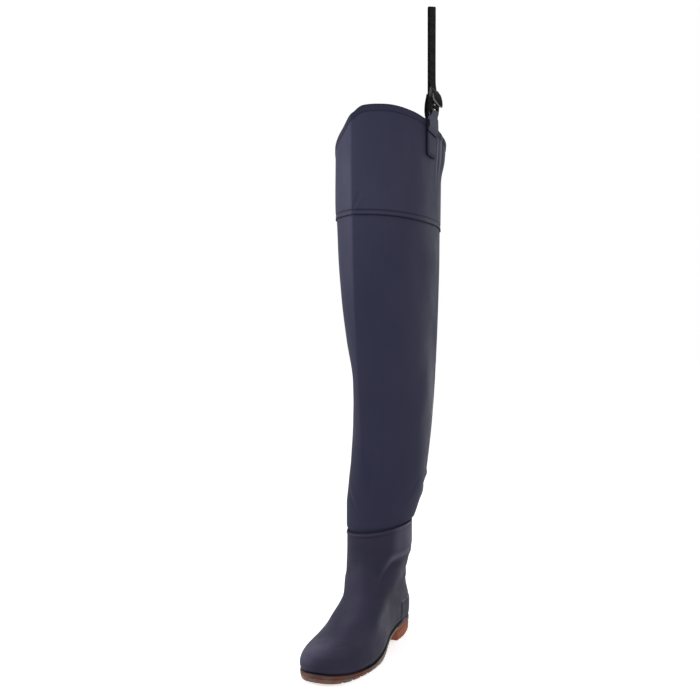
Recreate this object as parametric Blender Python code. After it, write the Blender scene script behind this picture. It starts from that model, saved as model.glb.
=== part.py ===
"""Left hip wader: a short moulded boot with a welded cloth leg, a thigh panel and a belt strap.

Units are metres and +Z is up. The toe points to -Y and the outer side of the leg faces +X. The origin
lies on the floor, under the middle of the heel's tread. Run it with blender --background --python part.py.
"""
import math

import bmesh
import bpy
import numpy as np
from mathutils import Vector

# Clearances and wall thicknesses
GAP = 0.0003
BOOT_WALL = 0.0026
CLOTH_WALL = 0.0010

# Plan of the foot, measured along Y from the middle of the heel tread
BALL_LINE = -0.168
WAIST_LINE = -0.075
WAIST_REACH = 0.055
INNER_WAIST = 0.007
OUTER_WAIST = 0.002
TOE_SWING = 0.012
TOE_SWING_START = -0.090
TOE_SWING_REACH = 0.150
# How square the rounded back of the heel is: 0 is an ellipse
HEEL_SQUARENESS = 0.7

# Heights of the boot
FEATHER_BLEND = 0.130
RIM_HEIGHT = 0.177
# Rim lip: height from the rim, reach beyond the shaft
RIM_PROFILE = ((-0.0064, 0.0), (-0.0050, 0.0014), (-0.0008, 0.0014), (0.0, 0.0006))

# Overlays moulded on the boot
TOE_CAP_LINE = -0.198
TOE_CAP_RISE = 0.0008
COUNTER_LINE = -0.018
COUNTER_TOP = 0.057
COUNTER_RISE = 0.0013
OVERLAY_ROOT = 0.0010
OVERLAY_START = 0.002
OVERLAY_END = 0.120
# A length that reaches past the whole boot from its origin
BEYOND = 0.400

# Sole edge: share of the way up, reach beyond the feather line
SOLE_EDGE = (
    (0.00, -0.0014),
    (0.10, 0.0002),
    (0.48, 0.0014),
    (0.54, 0.0006),
    (0.62, 0.0006),
    (0.68, 0.0016),
    (1.00, 0.0016),
)
SOLE_STEPS = 28
HEEL_TAPER = 0.0006
HEEL_TAPER_REACH = 0.030
HEEL_BREAST = -0.036
BREAST_SLOPE = 0.004
GROOVE_DEPTH = 0.0035
GROOVE_WIDTH = 0.0045
GROOVE_DRAFT = 0.0006
HEEL_GROOVES = (-0.018, 0.018)
FORE_GROOVE_FIRST = -0.224
FORE_GROOVE_PITCH = 0.0155
FORE_GROOVE_COUNT = 7
INSOLE_THICKNESS = 0.0030
INSOLE_CLEARANCE = 0.0008
INSOLE_STEPS = 24

# Leg
LEG_TUCK = 0.025
SEAM_HEIGHT = 0.670
SEAM_LAP = 0.012
HEM_WIDTH = 0.010
HEM_RISE = 0.0007
PANEL_STEPS = (0.0, 0.25, 0.5, 0.75, 1.0)

# Strap: distances out from the thigh panel, and heights
STRAP_ANGLE = math.radians(86.5)
STRAP_ANGLE_STEP = math.radians(1.0)
WEB_WIDTH = 0.022
WEB_THICKNESS = 0.0016
WEB_FOOT = 0.791
WEB_TOP = 1.018
WEB_FOLD_RADIUS = 0.0013
WEB_LEAD_IN = 0.017
WEB_TAIL = 0.016
TAB_WIDTH = 0.034
TAB_FOOT = 0.775
TAB_POINT = 0.012
TAB_HEAD = 0.838
TAB_THICKNESS = 0.0018
TAB_ROOT = 0.002
TAB_LAP = 0.024
BUCKLE_WIDTH = 0.033
BUCKLE_RAIL = 0.0045
BUCKLE_THICKNESS = 0.0050
BUCKLE_FOOT_BAR = 0.851
BUCKLE_MID_BAR = 0.869
BUCKLE_LIP_BAR = 0.885
BUCKLE_BAR_RADIUS = 0.0019
BUCKLE_LIP_REACH = 0.0040
BUCKLE_PLANE = 0.0066
BUCKLE_END = 0.0032
BAR_SIDES = 12

# Fineness of the meshes
RING_POINTS = 48
SHARP_ANGLE = math.radians(35.0)

# Boot sections, from the feather line up: level, back, front, length of the rounded back and front,
# half widths of the outer and inner side at the heel and at the ball
BOOT_COLUMNS = (
    "level", "back", "front", "back_cap", "front_cap",
    "heel_outer", "heel_inner", "ball_outer", "ball_inner",
)
BOOT_SECTIONS = (
    (0.000, 0.0420, -0.2480, 0.0350, 0.0880, 0.0352, 0.0348, 0.0500, 0.0460),
    (0.010, 0.0437, -0.2510, 0.0370, 0.0880, 0.0362, 0.0360, 0.0515, 0.0470),
    (0.022, 0.0448, -0.2490, 0.0395, 0.0880, 0.0367, 0.0370, 0.0505, 0.0460),
    (0.032, 0.0455, -0.2400, 0.0420, 0.0840, 0.0370, 0.0378, 0.0475, 0.0430),
    (0.041, 0.0455, -0.2210, 0.0440, 0.0800, 0.0370, 0.0388, 0.0440, 0.0400),
    (0.048, 0.0445, -0.1970, 0.0460, 0.0760, 0.0368, 0.0396, 0.0415, 0.0385),
    (0.056, 0.0430, -0.1700, 0.0480, 0.0720, 0.0366, 0.0405, 0.0400, 0.0380),
    (0.066, 0.0405, -0.1450, 0.0500, 0.0680, 0.0366, 0.0418, 0.0395, 0.0385),
    (0.079, 0.0380, -0.1220, 0.0520, 0.0640, 0.0372, 0.0437, 0.0395, 0.0400),
    (0.094, 0.0365, -0.1040, 0.0550, 0.0610, 0.0390, 0.0462, 0.0400, 0.0430),
    (0.110, 0.0375, -0.0910, 0.0580, 0.0600, 0.0420, 0.0488, 0.0420, 0.0475),
    (0.125, 0.0410, -0.0840, 0.0605, 0.0605, 0.0455, 0.0508, 0.0455, 0.0508),
    (0.138, 0.0450, -0.0805, 0.0620, 0.0620, 0.0485, 0.0522, 0.0485, 0.0522),
    (0.147, 0.0470, -0.0795, 0.06325, 0.06325, 0.0498, 0.0527, 0.0498, 0.0527),
    (0.177, 0.0470, -0.0795, 0.06325, 0.06325, 0.0498, 0.0527, 0.0498, 0.0527),
)

# Feather line, where the upper meets the sole: place along the foot, height
FEATHER_COLUMNS = ("place", "height")
FEATHER_LINE = (
    (-0.260, 0.0220),
    (-0.235, 0.0145),
    (-0.200, 0.0095),
    (-0.165, 0.0085),
    (-0.120, 0.0115),
    (-0.080, 0.0175),
    (-0.040, 0.0230),
    (0.000, 0.0250),
    (0.050, 0.0260),
)
# Underside of the sole in front of the heel block: place along the foot, height
TREAD_COLUMNS = ("place", "height")
TREAD_LINE = (
    (-0.260, 0.0120),
    (-0.240, 0.0050),
    (-0.218, 0.0006),
    (-0.205, 0.0000),
    (-0.135, 0.0000),
    (-0.115, 0.0025),
    (-0.080, 0.0105),
    (-0.036, 0.0180),
)

# Leg sections: height, front and back of the tube, half widths of its outer and inner side, how sharply
# the inner side is pinched at its creases, and how far (degrees) the flat tube is turned on the foot
LEG_COLUMNS = ("height", "front", "back", "outer", "inner", "pinch", "turn")
LEG_SECTIONS = (
    (0.195, -0.0800, 0.0590, 0.0525, 0.0550, 1.00, 0.0),
    (0.215, -0.0820, 0.0680, 0.0580, 0.0550, 1.00, -1.0),
    (0.240, -0.0840, 0.0790, 0.0640, 0.0530, 1.10, -2.0),
    (0.280, -0.0860, 0.0960, 0.0675, 0.0505, 1.30, -2.5),
    (0.345, -0.0885, 0.1220, 0.0690, 0.0455, 1.55, -3.5),
    (0.410, -0.0935, 0.1400, 0.0695, 0.0455, 1.60, -4.0),
    (0.480, -0.0995, 0.1505, 0.0695, 0.0560, 1.35, -4.5),
    (0.545, -0.1040, 0.1590, 0.0698, 0.0635, 1.20, -5.0),
    (0.625, -0.1075, 0.1650, 0.0710, 0.0690, 1.10, -5.0),
    (0.700, -0.1095, 0.1700, 0.0710, 0.0695, 1.00, -5.0),
    (0.780, -0.1110, 0.1730, 0.0710, 0.0690, 1.00, -5.0),
    (0.850, -0.1115, 0.1900, 0.0715, 0.0680, 1.00, -5.0),
)

# Top edge of the thigh panel: angle round the leg from the front crease to the outer side, and height
TOP_COLUMNS = ("angle", "height")
TOP_EDGE = (
    (-180.0, 0.794),
    (-130.0, 0.774),
    (-90.0, 0.775),
    (-47.0, 0.786),
    (0.0, 0.819),
    (30.0, 0.840),
    (65.0, 0.841),
    (100.0, 0.832),
    (135.0, 0.822),
    (180.0, 0.794),
)

# Finishes: base colour, roughness
COLOURS = {
    "boot_pvc": ((0.040, 0.038, 0.058), 0.42),
    "leg_cloth": ((0.038, 0.039, 0.068), 0.62),
    "sole_gum": ((0.190, 0.085, 0.062), 0.55),
    "insole_felt": ((0.060, 0.060, 0.064), 0.90),
    "webbing": ((0.014, 0.014, 0.014), 0.80),
    "buckle_plastic": ((0.012, 0.012, 0.013), 0.35),
}


def column(rows, columns, name, places):
    """Read one column of a table at the given places, with a smooth curve that never overshoots."""
    keys = np.array([row[0] for row in rows])
    values = np.array([row[columns.index(name)] for row in rows])
    steps = np.diff(keys)
    rises = np.diff(values) / steps
    slopes = np.zeros(len(keys))
    for i in range(1, len(keys) - 1):
        if rises[i - 1] * rises[i] > 0.0:
            before = 2.0 * steps[i] + steps[i - 1]
            after = steps[i] + 2.0 * steps[i - 1]
            slopes[i] = (before + after) / (before / rises[i - 1] + after / rises[i])
    slopes[0] = rises[0]
    slopes[-1] = rises[-1]
    places = np.clip(np.asarray(places, dtype=float), keys[0], keys[-1])
    i = np.clip(np.searchsorted(keys, places, side="right") - 1, 0, len(steps) - 1)
    s = (places - keys[i]) / steps[i]
    start = (1.0 + 2.0 * s) * (1.0 - s) ** 2 * values[i] + s * (1.0 - s) ** 2 * steps[i] * slopes[i]
    end = s * s * (3.0 - 2.0 * s) * values[i + 1] + s * s * (s - 1.0) * steps[i] * slopes[i + 1]
    return start + end


def smooth_rise(value):
    """Rise smoothly from 0 to 1 as the value goes from 0 to 1."""
    value = np.clip(value, 0.0, 1.0)
    return value * value * (3.0 - 2.0 * value)


def feather_height(places):
    """Height of the line where the upper meets the sole."""
    return column(FEATHER_LINE, FEATHER_COLUMNS, "height", places)


def rounded_end(distance, length, squareness):
    """Share of the full width at a distance from a rounded end of the given length and squareness."""
    power = 2.0 + squareness
    rest = 1.0 - np.clip(distance, 0.0, length) / length
    return np.clip(1.0 - rest ** power, 0.0, 1.0) ** (1.0 / power)


def boot_sides(level, places):
    """Outer and inner edges (X) of the boot's section at a level, for places along the foot."""
    size = {name: float(column(BOOT_SECTIONS, BOOT_COLUMNS, name, level)) for name in BOOT_COLUMNS[1:]}
    foot = 1.0 - smooth_rise(level / FEATHER_BLEND)
    ends = rounded_end(places - size["front"], size["front_cap"], 0.0)
    ends = ends * rounded_end(size["back"] - places, size["back_cap"], HEEL_SQUARENESS * foot)
    toward_ball = smooth_rise(places / BALL_LINE)
    waist = foot * (1.0 - smooth_rise(np.abs(places - WAIST_LINE) / WAIST_REACH))
    swing = -TOE_SWING * foot * smooth_rise((TOE_SWING_START - places) / TOE_SWING_REACH)
    outer = size["heel_outer"] + (size["ball_outer"] - size["heel_outer"]) * toward_ball
    inner = size["heel_inner"] + (size["ball_inner"] - size["heel_inner"]) * toward_ball
    outer = outer - OUTER_WAIST * waist
    inner = inner - INNER_WAIST * waist
    return swing + outer * ends, swing - inner * ends


def ring_turn():
    """Angles round a section, from the front over the outer side to the back and home."""
    return 2.0 * math.pi * np.arange(RING_POINTS) / RING_POINTS


def boot_ring(level):
    """One closed section of the boot's outside: points from the toe round the outer side and back."""
    front = float(column(BOOT_SECTIONS, BOOT_COLUMNS, "front", level))
    back = float(column(BOOT_SECTIONS, BOOT_COLUMNS, "back", level))
    turn = ring_turn()
    y = front + (back - front) * (1.0 - np.cos(turn)) / 2.0
    outer, inner = boot_sides(level, y)
    x = np.where(turn <= math.pi, outer, inner)
    z = level + feather_height(y) * (1.0 - smooth_rise(level / FEATHER_BLEND))
    return np.stack([x, y, z], axis=1)


def leg_points(heights, around):
    """Points on the leg's outside at angles round it, with one height for all or one for each."""
    heights = np.broadcast_to(np.asarray(heights, dtype=float), around.shape)
    front, back, outer, inner, pinch, turn = (
        column(LEG_SECTIONS, LEG_COLUMNS, name, heights) for name in LEG_COLUMNS[1:]
    )
    swell = np.abs(np.sin(around))
    across = np.where(around <= math.pi, outer * swell, -inner * swell ** pinch)
    along = -(back - front) / 2.0 * np.cos(around)
    turn = np.radians(turn)
    x = np.cos(turn) * across - np.sin(turn) * along
    y = (front + back) / 2.0 + np.sin(turn) * across + np.cos(turn) * along
    return np.stack([x, y, heights], axis=1)


def leg_ring(heights):
    """One closed section of the leg's outside, ordered as the boot's sections are."""
    return leg_points(heights, ring_turn())


def spread(ring, distance):
    """Move a ring outwards in plan by a distance, square to its own edge, keeping each point's height."""
    along = np.roll(ring, -1, axis=0) - np.roll(ring, 1, axis=0)
    normal = np.stack([along[:, 1], -along[:, 0]], axis=1)
    normal /= np.linalg.norm(normal, axis=1)[:, None]
    moved = ring.copy()
    moved[:, :2] += normal * np.reshape(distance, (-1, 1))
    return moved


def offset_rings(rings, distance):
    """Move a stack of rings along the surface's own normals, outwards for a positive distance."""
    grid = np.array(rings)
    around = np.roll(grid, -1, axis=1) - np.roll(grid, 1, axis=1)
    upward = np.gradient(grid, axis=0)
    normal = np.cross(around, upward)
    normal /= np.linalg.norm(normal, axis=2)[:, :, None]
    return list(grid + normal * distance)


def material(finish):
    """Make, or find, the plain material of a finish."""
    found = bpy.data.materials.get(finish)
    if found:
        return found
    colour, roughness = COLOURS[finish]
    made = bpy.data.materials.new(finish)
    made.use_nodes = True
    shader = made.node_tree.nodes["Principled BSDF"]
    shader.inputs["Base Color"].default_value = (*colour, 1.0)
    shader.inputs["Roughness"].default_value = roughness
    shader.inputs["Metallic"].default_value = 0.0
    return made


def new_object(name, shape, finish, collection):
    """Turn a closed bmesh into a named object with its material."""
    bmesh.ops.recalc_face_normals(shape, faces=shape.faces)
    mesh = bpy.data.meshes.new(name)
    shape.to_mesh(mesh)
    shape.free()
    mesh.shade_smooth()
    mesh.set_sharp_from_angle(angle=SHARP_ANGLE)
    mesh.materials.append(material(finish))
    piece = bpy.data.objects.new(name, mesh)
    collection.objects.link(piece)
    return piece


def loft(rings, closed):
    """Join rings of equal count with quads. A closed loft also joins the last ring to the first."""
    shape = bmesh.new()
    rows = [[shape.verts.new(point) for point in ring] for ring in rings]
    pairs = list(zip(rows, rows[1:]))
    if closed:
        pairs.append((rows[-1], rows[0]))
    for low, high in pairs:
        for i in range(len(low)):
            j = (i + 1) % len(low)
            shape.faces.new((low[i], low[j], high[j], high[i]))
    return shape, rows


def shell(name, outer, inner, finish, collection):
    """Make a hollow wall, open at both ends, from its outer and inner rings, bottom to top."""
    shape, _ = loft(list(outer) + list(reversed(inner)), closed=True)
    return new_object(name, shape, finish, collection)


def hide_guide(tool, cutters):
    """Keep a piece that only shapes another one as a hidden wire guide."""
    for owner in list(tool.users_collection):
        owner.objects.unlink(tool)
    cutters.objects.link(tool)
    tool.hide_render = True
    tool.display_type = "WIRE"


def combine(piece, tool, operation, cutters):
    """Unite, cut or intersect a piece with a tool, by a Boolean modifier."""
    change = piece.modifiers.new(f"{operation} {tool.name}", "BOOLEAN")
    change.operation = operation
    change.solver = "EXACT"
    change.object = tool
    hide_guide(tool, cutters)


def block(name, low, high, finish, collection):
    """Make a box from its lowest to its highest corner."""
    shape = bmesh.new()
    bmesh.ops.create_cube(shape, size=1.0)
    for vertex in shape.verts:
        vertex.co = [low[i] + (high[i] - low[i]) * (vertex.co[i] + 0.5) for i in range(3)]
    return new_object(name, shape, finish, collection)


def boot_overlay(name, rise, collection):
    """A thin wall along the boot's outside, from inside the boot's own wall to a small rise above it."""
    levels = [row[0] for row in BOOT_SECTIONS if OVERLAY_START <= row[0] <= OVERLAY_END]
    rings = [boot_ring(level) for level in levels]
    outside = offset_rings(rings, rise)
    inside = offset_rings(rings, -OVERLAY_ROOT)
    return shell(name, outside, inside, "boot_pvc", collection)


def boot_upper(parts, cutters):
    """The moulded boot: foot and short shaft in one wall, with toe cap, heel counter and rim lip."""
    levels = [row[0] for row in BOOT_SECTIONS[:-1]]
    rings = [boot_ring(level) for level in levels]
    straight = boot_ring(RIM_HEIGHT)
    inside = offset_rings(rings + [straight], -BOOT_WALL)
    inside[0][:, 2] = rings[0][:, 2]
    for height, distance in RIM_PROFILE:
        rings.append(spread(straight, distance) + (0.0, 0.0, height))
    upper = shell("boot_upper", rings, inside, "boot_pvc", parts)
    zones = (
        ("toe_cap", TOE_CAP_RISE, (-BEYOND, -BEYOND, -BEYOND), (BEYOND, TOE_CAP_LINE, BEYOND)),
        ("heel_counter", COUNTER_RISE, (-BEYOND, COUNTER_LINE, -BEYOND), (BEYOND, BEYOND, COUNTER_TOP)),
    )
    for name, rise, low, high in zones:
        overlay = boot_overlay(name, rise, cutters)
        zone = block(f"{name}_zone", low, high, "boot_pvc", cutters)
        combine(overlay, zone, "INTERSECT", cutters)
        combine(upper, overlay, "UNION", cutters)
    return upper


def groove_middles():
    """Middles of the tread's cross grooves, on the forepart and on the heel."""
    fore = [FORE_GROOVE_FIRST + FORE_GROOVE_PITCH * i for i in range(FORE_GROOVE_COUNT)]
    return fore + list(HEEL_GROOVES)


def foot_places(count):
    """Places along the foot, closer together at the toe and the heel, without the two ends."""
    share = (1.0 - np.cos(math.pi * np.arange(1, count) / count)) / 2.0
    front, back = foot_ends()
    return front + (back - front) * share


def foot_ends():
    """Foremost and rearmost places of the outline along the feather line."""
    first = BOOT_SECTIONS[0]
    return first[BOOT_COLUMNS.index("front")], first[BOOT_COLUMNS.index("back")]


def sole_places():
    """Places along the foot for the sole's points: a close pair at each groove wall and at the breast."""
    edges = [HEEL_BREAST - BREAST_SLOPE, HEEL_BREAST]
    half = GROOVE_WIDTH / 2.0
    for middle in groove_middles():
        for wall in (middle - half, middle + half):
            edges += [wall - GROOVE_DRAFT / 2.0, wall + GROOVE_DRAFT / 2.0]
    free = [y for y in foot_places(SOLE_STEPS) if min(abs(y - edge) for edge in edges) > half]
    return np.array(sorted(free + edges))


def tread_height(places):
    """Height of the sole's underside along the foot, with the heel block and the cross grooves."""
    forepart = column(TREAD_LINE, TREAD_COLUMNS, "height", places)
    height = np.where(places > HEEL_BREAST - BREAST_SLOPE / 2.0, 0.0, forepart)
    for middle in groove_middles():
        height = height + np.where(np.abs(places - middle) < GROOVE_WIDTH / 2.0, GROOVE_DEPTH, 0.0)
    return height


def foot_outline(places):
    """The feather line's outline in plan: toe, outer side to the heel, and back along the inner side."""
    front, back = foot_ends()
    outer, inner = boot_sides(0.0, places)
    ends = [sum(boot_sides(0.0, np.array([end])))[0] / 2.0 for end in (front, back)]
    x = np.concatenate([[ends[0]], outer, [ends[1]], inner[::-1]])
    y = np.concatenate([[front], places, [back], places[::-1]])
    return np.stack([x, y, np.zeros(len(x))], axis=1)


def around_foot(along, front, back):
    """Values for each point of a foot outline, from values at its places and at its two ends."""
    return np.concatenate([[front], along, [back], along[::-1]])


def cap_foot(shape, row):
    """Close one end of a foot-shaped loft with strips that run straight across the foot."""
    half = len(row) // 2
    outer = row[1:half]
    inner = row[half + 1:][::-1]
    shape.faces.new((row[0], outer[0], inner[0]))
    for i in range(half - 2):
        shape.faces.new((outer[i], outer[i + 1], inner[i + 1], inner[i]))
    shape.faces.new((outer[-1], row[half], inner[-1]))


def foot_solid(name, rings, finish, collection):
    """Make a solid from foot-shaped rings, bottom to top."""
    shape, rows = loft(rings, closed=False)
    cap_foot(shape, rows[0])
    cap_foot(shape, rows[-1])
    return new_object(name, shape, finish, collection)


def outsole(parts):
    """The moulded sole: heel block, arch, flat forepart, toe spring, cross grooves and a line round it."""
    places = sole_places()
    outline = foot_outline(places)
    ends = np.array(foot_ends())
    tread = around_foot(tread_height(places), *tread_height(ends))
    top = around_foot(feather_height(places), *feather_height(ends)) - GAP
    on_heel = smooth_rise((outline[:, 1] - HEEL_BREAST) / HEEL_TAPER_REACH)
    rings = []
    for share, reach in SOLE_EDGE:
        ring = spread(outline, reach - HEEL_TAPER * (1.0 - share) * on_heel)
        ring[:, 2] = tread + (top - tread) * share
        rings.append(ring)
    return foot_solid("outsole", rings, "sole_gum", parts)


def insole(parts):
    """The thin insole that lies on the sole, inside the boot."""
    outline = spread(foot_outline(foot_places(INSOLE_STEPS)), -BOOT_WALL - INSOLE_CLEARANCE)
    rings = []
    for rise in (0.0, INSOLE_THICKNESS):
        ring = outline.copy()
        ring[:, 2] = feather_height(ring[:, 1]) + rise
        rings.append(ring)
    return foot_solid("insole", rings, "insole_felt", parts)


def leg_tube(parts):
    """The cloth leg: its foot is tucked into the boot's collar and its top lies under the thigh panel."""
    collar = spread(boot_ring(RIM_HEIGHT), -BOOT_WALL - GAP)
    rings = [collar + (0.0, 0.0, height - RIM_HEIGHT) for height in (RIM_HEIGHT - LEG_TUCK, RIM_HEIGHT)]
    heights = [row[0] for row in LEG_SECTIONS if row[0] < SEAM_HEIGHT]
    heights += [(low + high) / 2.0 for low, high in zip(heights, heights[1:])]
    heights += [SEAM_HEIGHT + SEAM_LAP]
    rings += [leg_ring(height) for height in sorted(heights)]
    inside = [spread(ring, -CLOTH_WALL) for ring in rings]
    return shell("leg_tube", rings, inside, "leg_cloth", parts)


def top_height():
    """Height of the thigh panel's top edge at each point round the leg."""
    degrees = np.degrees(ring_turn())
    degrees = np.where(degrees > 180.0, degrees - 360.0, degrees)
    return column(TOP_EDGE, TOP_COLUMNS, "height", degrees)


def panel_walls():
    """Outer and inner rings of the thigh panel, from its seam to its thicker hem."""
    top = top_height()
    hem = top - HEM_WIDTH
    outside = []
    inside = []
    for share in PANEL_STEPS:
        ring = leg_ring(SEAM_HEIGHT + (hem - SEAM_HEIGHT) * share)
        outside.append(spread(ring, GAP + CLOTH_WALL))
        inside.append(spread(ring, GAP))
    for height in (hem + HEM_RISE, top):
        ring = leg_ring(height)
        outside.append(spread(ring, GAP + CLOTH_WALL + HEM_RISE))
        inside.append(spread(ring, GAP))
    return outside, inside


def thigh_panel(parts):
    """The cloth panel round the thigh: it laps over the leg tube and ends in a hem."""
    outside, inside = panel_walls()
    return shell("thigh_panel", outside, inside, "leg_cloth", parts)


class StrapPlace:
    """The upright plane on the thigh panel's outer side that the strap lies in."""

    def __init__(self):
        """Find the strap's place: its plane touches the panel's outside."""
        turns = STRAP_ANGLE + STRAP_ANGLE_STEP * np.array([-1.0, 0.0, 1.0])
        before, middle, after = (Vector((*point[:2], 0.0)) for point in leg_points(TAB_HEAD, turns))
        self.along = (after - before).normalized()
        self.out = Vector((self.along.y, -self.along.x, 0.0))
        outside, _ = panel_walls()
        reach = float(np.max(np.concatenate(outside) @ np.array(self.out)))
        self.base = middle + self.out * (reach - middle.dot(self.out))

    def point(self, distance, side, height):
        """World place of a distance out from the panel, a shift along it and a height."""
        return self.base + self.out * distance + self.along * side + Vector((0.0, 0.0, height))


def arc(middle, radius, start, end, steps):
    """Points on an arc, given by its middle (distance, height) and its start and end angles in degrees."""
    turns = [math.radians(start + (end - start) * i / steps) for i in range(steps + 1)]
    return [(middle[0] + radius * math.cos(turn), middle[1] + radius * math.sin(turn)) for turn in turns]


def ribbon(name, route, thickness, width, place, finish, collection, side=0.0):
    """Make a flat band of one width and thickness along a route of distances and heights."""
    points = np.array(route)
    along = np.gradient(points, axis=0)
    along /= np.linalg.norm(along, axis=1)[:, None]
    square = np.stack([-along[:, 1], along[:, 0]], axis=1) * thickness / 2.0
    rings = []
    for point, shift in zip(points, square):
        corners = ((point - shift, -0.5), (point + shift, -0.5), (point + shift, 0.5), (point - shift, 0.5))
        rings.append([place.point(at[0], side + width * half, at[1]) for at, half in corners])
    shape, rows = loft(rings, closed=False)
    shape.faces.new(rows[0])
    shape.faces.new(rows[-1])
    return new_object(name, shape, finish, collection)


def belt_loop(place, parts):
    """The doubled webbing: up from behind the tab, over its top and down round the buckle's middle bar."""
    back = GAP + WEB_THICKNESS / 2.0
    fold = WEB_TOP - WEB_FOLD_RADIUS - WEB_THICKNESS / 2.0
    wrap = BUCKLE_BAR_RADIUS + GAP + WEB_THICKNESS / 2.0
    route = [(back, WEB_FOOT), (back, BUCKLE_LIP_BAR), (back, fold)]
    route += arc((back + WEB_FOLD_RADIUS, fold), WEB_FOLD_RADIUS, 150.0, 0.0, 5)
    route += [(back + 2.0 * WEB_FOLD_RADIUS, BUCKLE_LIP_BAR + WEB_LEAD_IN)]
    route += arc((BUCKLE_PLANE, BUCKLE_MID_BAR), wrap, 10.0, -180.0, 8)
    route += [(BUCKLE_PLANE - wrap, BUCKLE_MID_BAR + WEB_TAIL)]
    return ribbon("belt_loop", route, WEB_THICKNESS, WEB_WIDTH, place, "webbing", parts)


def strap_tab(place, parts, cutters):
    """The cloth tab on the panel: it holds the webbing's end and loops over the buckle's foot bar."""
    thickness = 2.0 * GAP + WEB_THICKNESS + TAB_THICKNESS
    half = TAB_WIDTH / 2.0
    outline = (
        (-half, TAB_HEAD), (-half, TAB_FOOT + TAB_POINT), (-half / 2.0, TAB_FOOT),
        (half / 2.0, TAB_FOOT), (half, TAB_FOOT + TAB_POINT), (half, TAB_HEAD),
    )
    rings = [[place.point(out, side, z) for side, z in outline] for out in (GAP, thickness)]
    shape, rows = loft(rings, closed=False)
    shape.faces.new(rows[0])
    shape.faces.new(rows[-1])
    tab = new_object("strap_tab", shape, "leg_cloth", parts)
    pocket_depth = GAP + WEB_THICKNESS + GAP
    pocket = ribbon(
        "tab_pocket", [(0.0, WEB_FOOT - GAP), (0.0, TAB_HEAD + TAB_POINT)], 2.0 * pocket_depth,
        WEB_WIDTH + 2.0 * GAP, place, "leg_cloth", cutters,
    )
    combine(tab, pocket, "DIFFERENCE", cutters)
    wrap = BUCKLE_BAR_RADIUS + GAP + TAB_THICKNESS / 2.0
    face = thickness + TAB_THICKNESS / 3.0
    route = [(BUCKLE_PLANE - wrap, TAB_HEAD - TAB_ROOT), (BUCKLE_PLANE - wrap, BUCKLE_FOOT_BAR - wrap)]
    route += arc((BUCKLE_PLANE, BUCKLE_FOOT_BAR), wrap, 180.0, -10.0, 8)
    route += [(face + TAB_ROOT / 2.0, TAB_HEAD), (face, TAB_HEAD - TAB_LAP / 3.0), (face, TAB_HEAD - TAB_LAP)]
    eye = ribbon("tab_eye", route, TAB_THICKNESS, WEB_WIDTH, place, "leg_cloth", cutters)
    combine(tab, eye, "UNION", cutters)
    return tab


def buckle_bar(name, distance, height, place, cutters):
    """One round bar across the buckle."""
    shape = bmesh.new()
    bmesh.ops.create_cone(
        shape, cap_ends=True, segments=BAR_SIDES, radius1=BUCKLE_BAR_RADIUS, radius2=BUCKLE_BAR_RADIUS,
        depth=BUCKLE_WIDTH - BUCKLE_RAIL,
    )
    turn = Vector((0.0, 0.0, 1.0)).rotation_difference(place.along).to_matrix()
    bmesh.ops.rotate(shape, verts=shape.verts, matrix=turn)
    bmesh.ops.translate(shape, verts=shape.verts, vec=place.point(distance, 0.0, height))
    return new_object(name, shape, "buckle_plastic", cutters)


def buckle(place, parts, cutters):
    """The ladder buckle: two side rails that lean out at the top, joined by three bars."""
    route = (
        (BUCKLE_PLANE, BUCKLE_FOOT_BAR - BUCKLE_END),
        (BUCKLE_PLANE, BUCKLE_MID_BAR),
        (BUCKLE_PLANE + BUCKLE_LIP_REACH, BUCKLE_LIP_BAR + BUCKLE_END),
    )
    side = (BUCKLE_WIDTH - BUCKLE_RAIL) / 2.0
    frame = ribbon("buckle", route, BUCKLE_THICKNESS, BUCKLE_RAIL, place, "buckle_plastic", parts, side)
    other = ribbon(
        "buckle_rail", route, BUCKLE_THICKNESS, BUCKLE_RAIL, place, "buckle_plastic", cutters, -side,
    )
    bars = (
        ("buckle_foot_bar", BUCKLE_PLANE, BUCKLE_FOOT_BAR),
        ("buckle_mid_bar", BUCKLE_PLANE, BUCKLE_MID_BAR),
        ("buckle_lip_bar", BUCKLE_PLANE + BUCKLE_LIP_REACH, BUCKLE_LIP_BAR),
    )
    for name, distance, height in bars:
        combine(frame, buckle_bar(name, distance, height, place, cutters), "UNION", cutters)
    combine(frame, other, "UNION", cutters)
    return frame


def clear_scene():
    """Remove everything that the scene holds."""
    for piece in list(bpy.data.objects):
        bpy.data.objects.remove(piece, do_unlink=True)


def new_collection(name):
    """Make a collection and show it in the scene."""
    made = bpy.data.collections.new(name)
    bpy.context.scene.collection.children.link(made)
    return made


def main():
    """Build every piece of the wader."""
    clear_scene()
    parts = new_collection("hip_wader")
    cutters = new_collection("cutters")
    outsole(parts)
    insole(parts)
    boot_upper(parts, cutters)
    leg_tube(parts)
    thigh_panel(parts)
    place = StrapPlace()
    strap_tab(place, parts, cutters)
    buckle(place, parts, cutters)
    belt_loop(place, parts)


main()
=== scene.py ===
"""Looks of a left hip wader: moulded boot, coated-cloth leg, thigh panel, strap and buckle.

Units are metres and +Z is up. The toe points to -Y and the outer side of the leg faces +X. Every piece is
worked out in the frame's own place and rides on the part's one body. A turn goes round a wall from the
front over the outer side.
"""
import logging
import math
from dataclasses import dataclass, replace
from enum import Enum
from typing import Callable, Optional, Sequence

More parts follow.
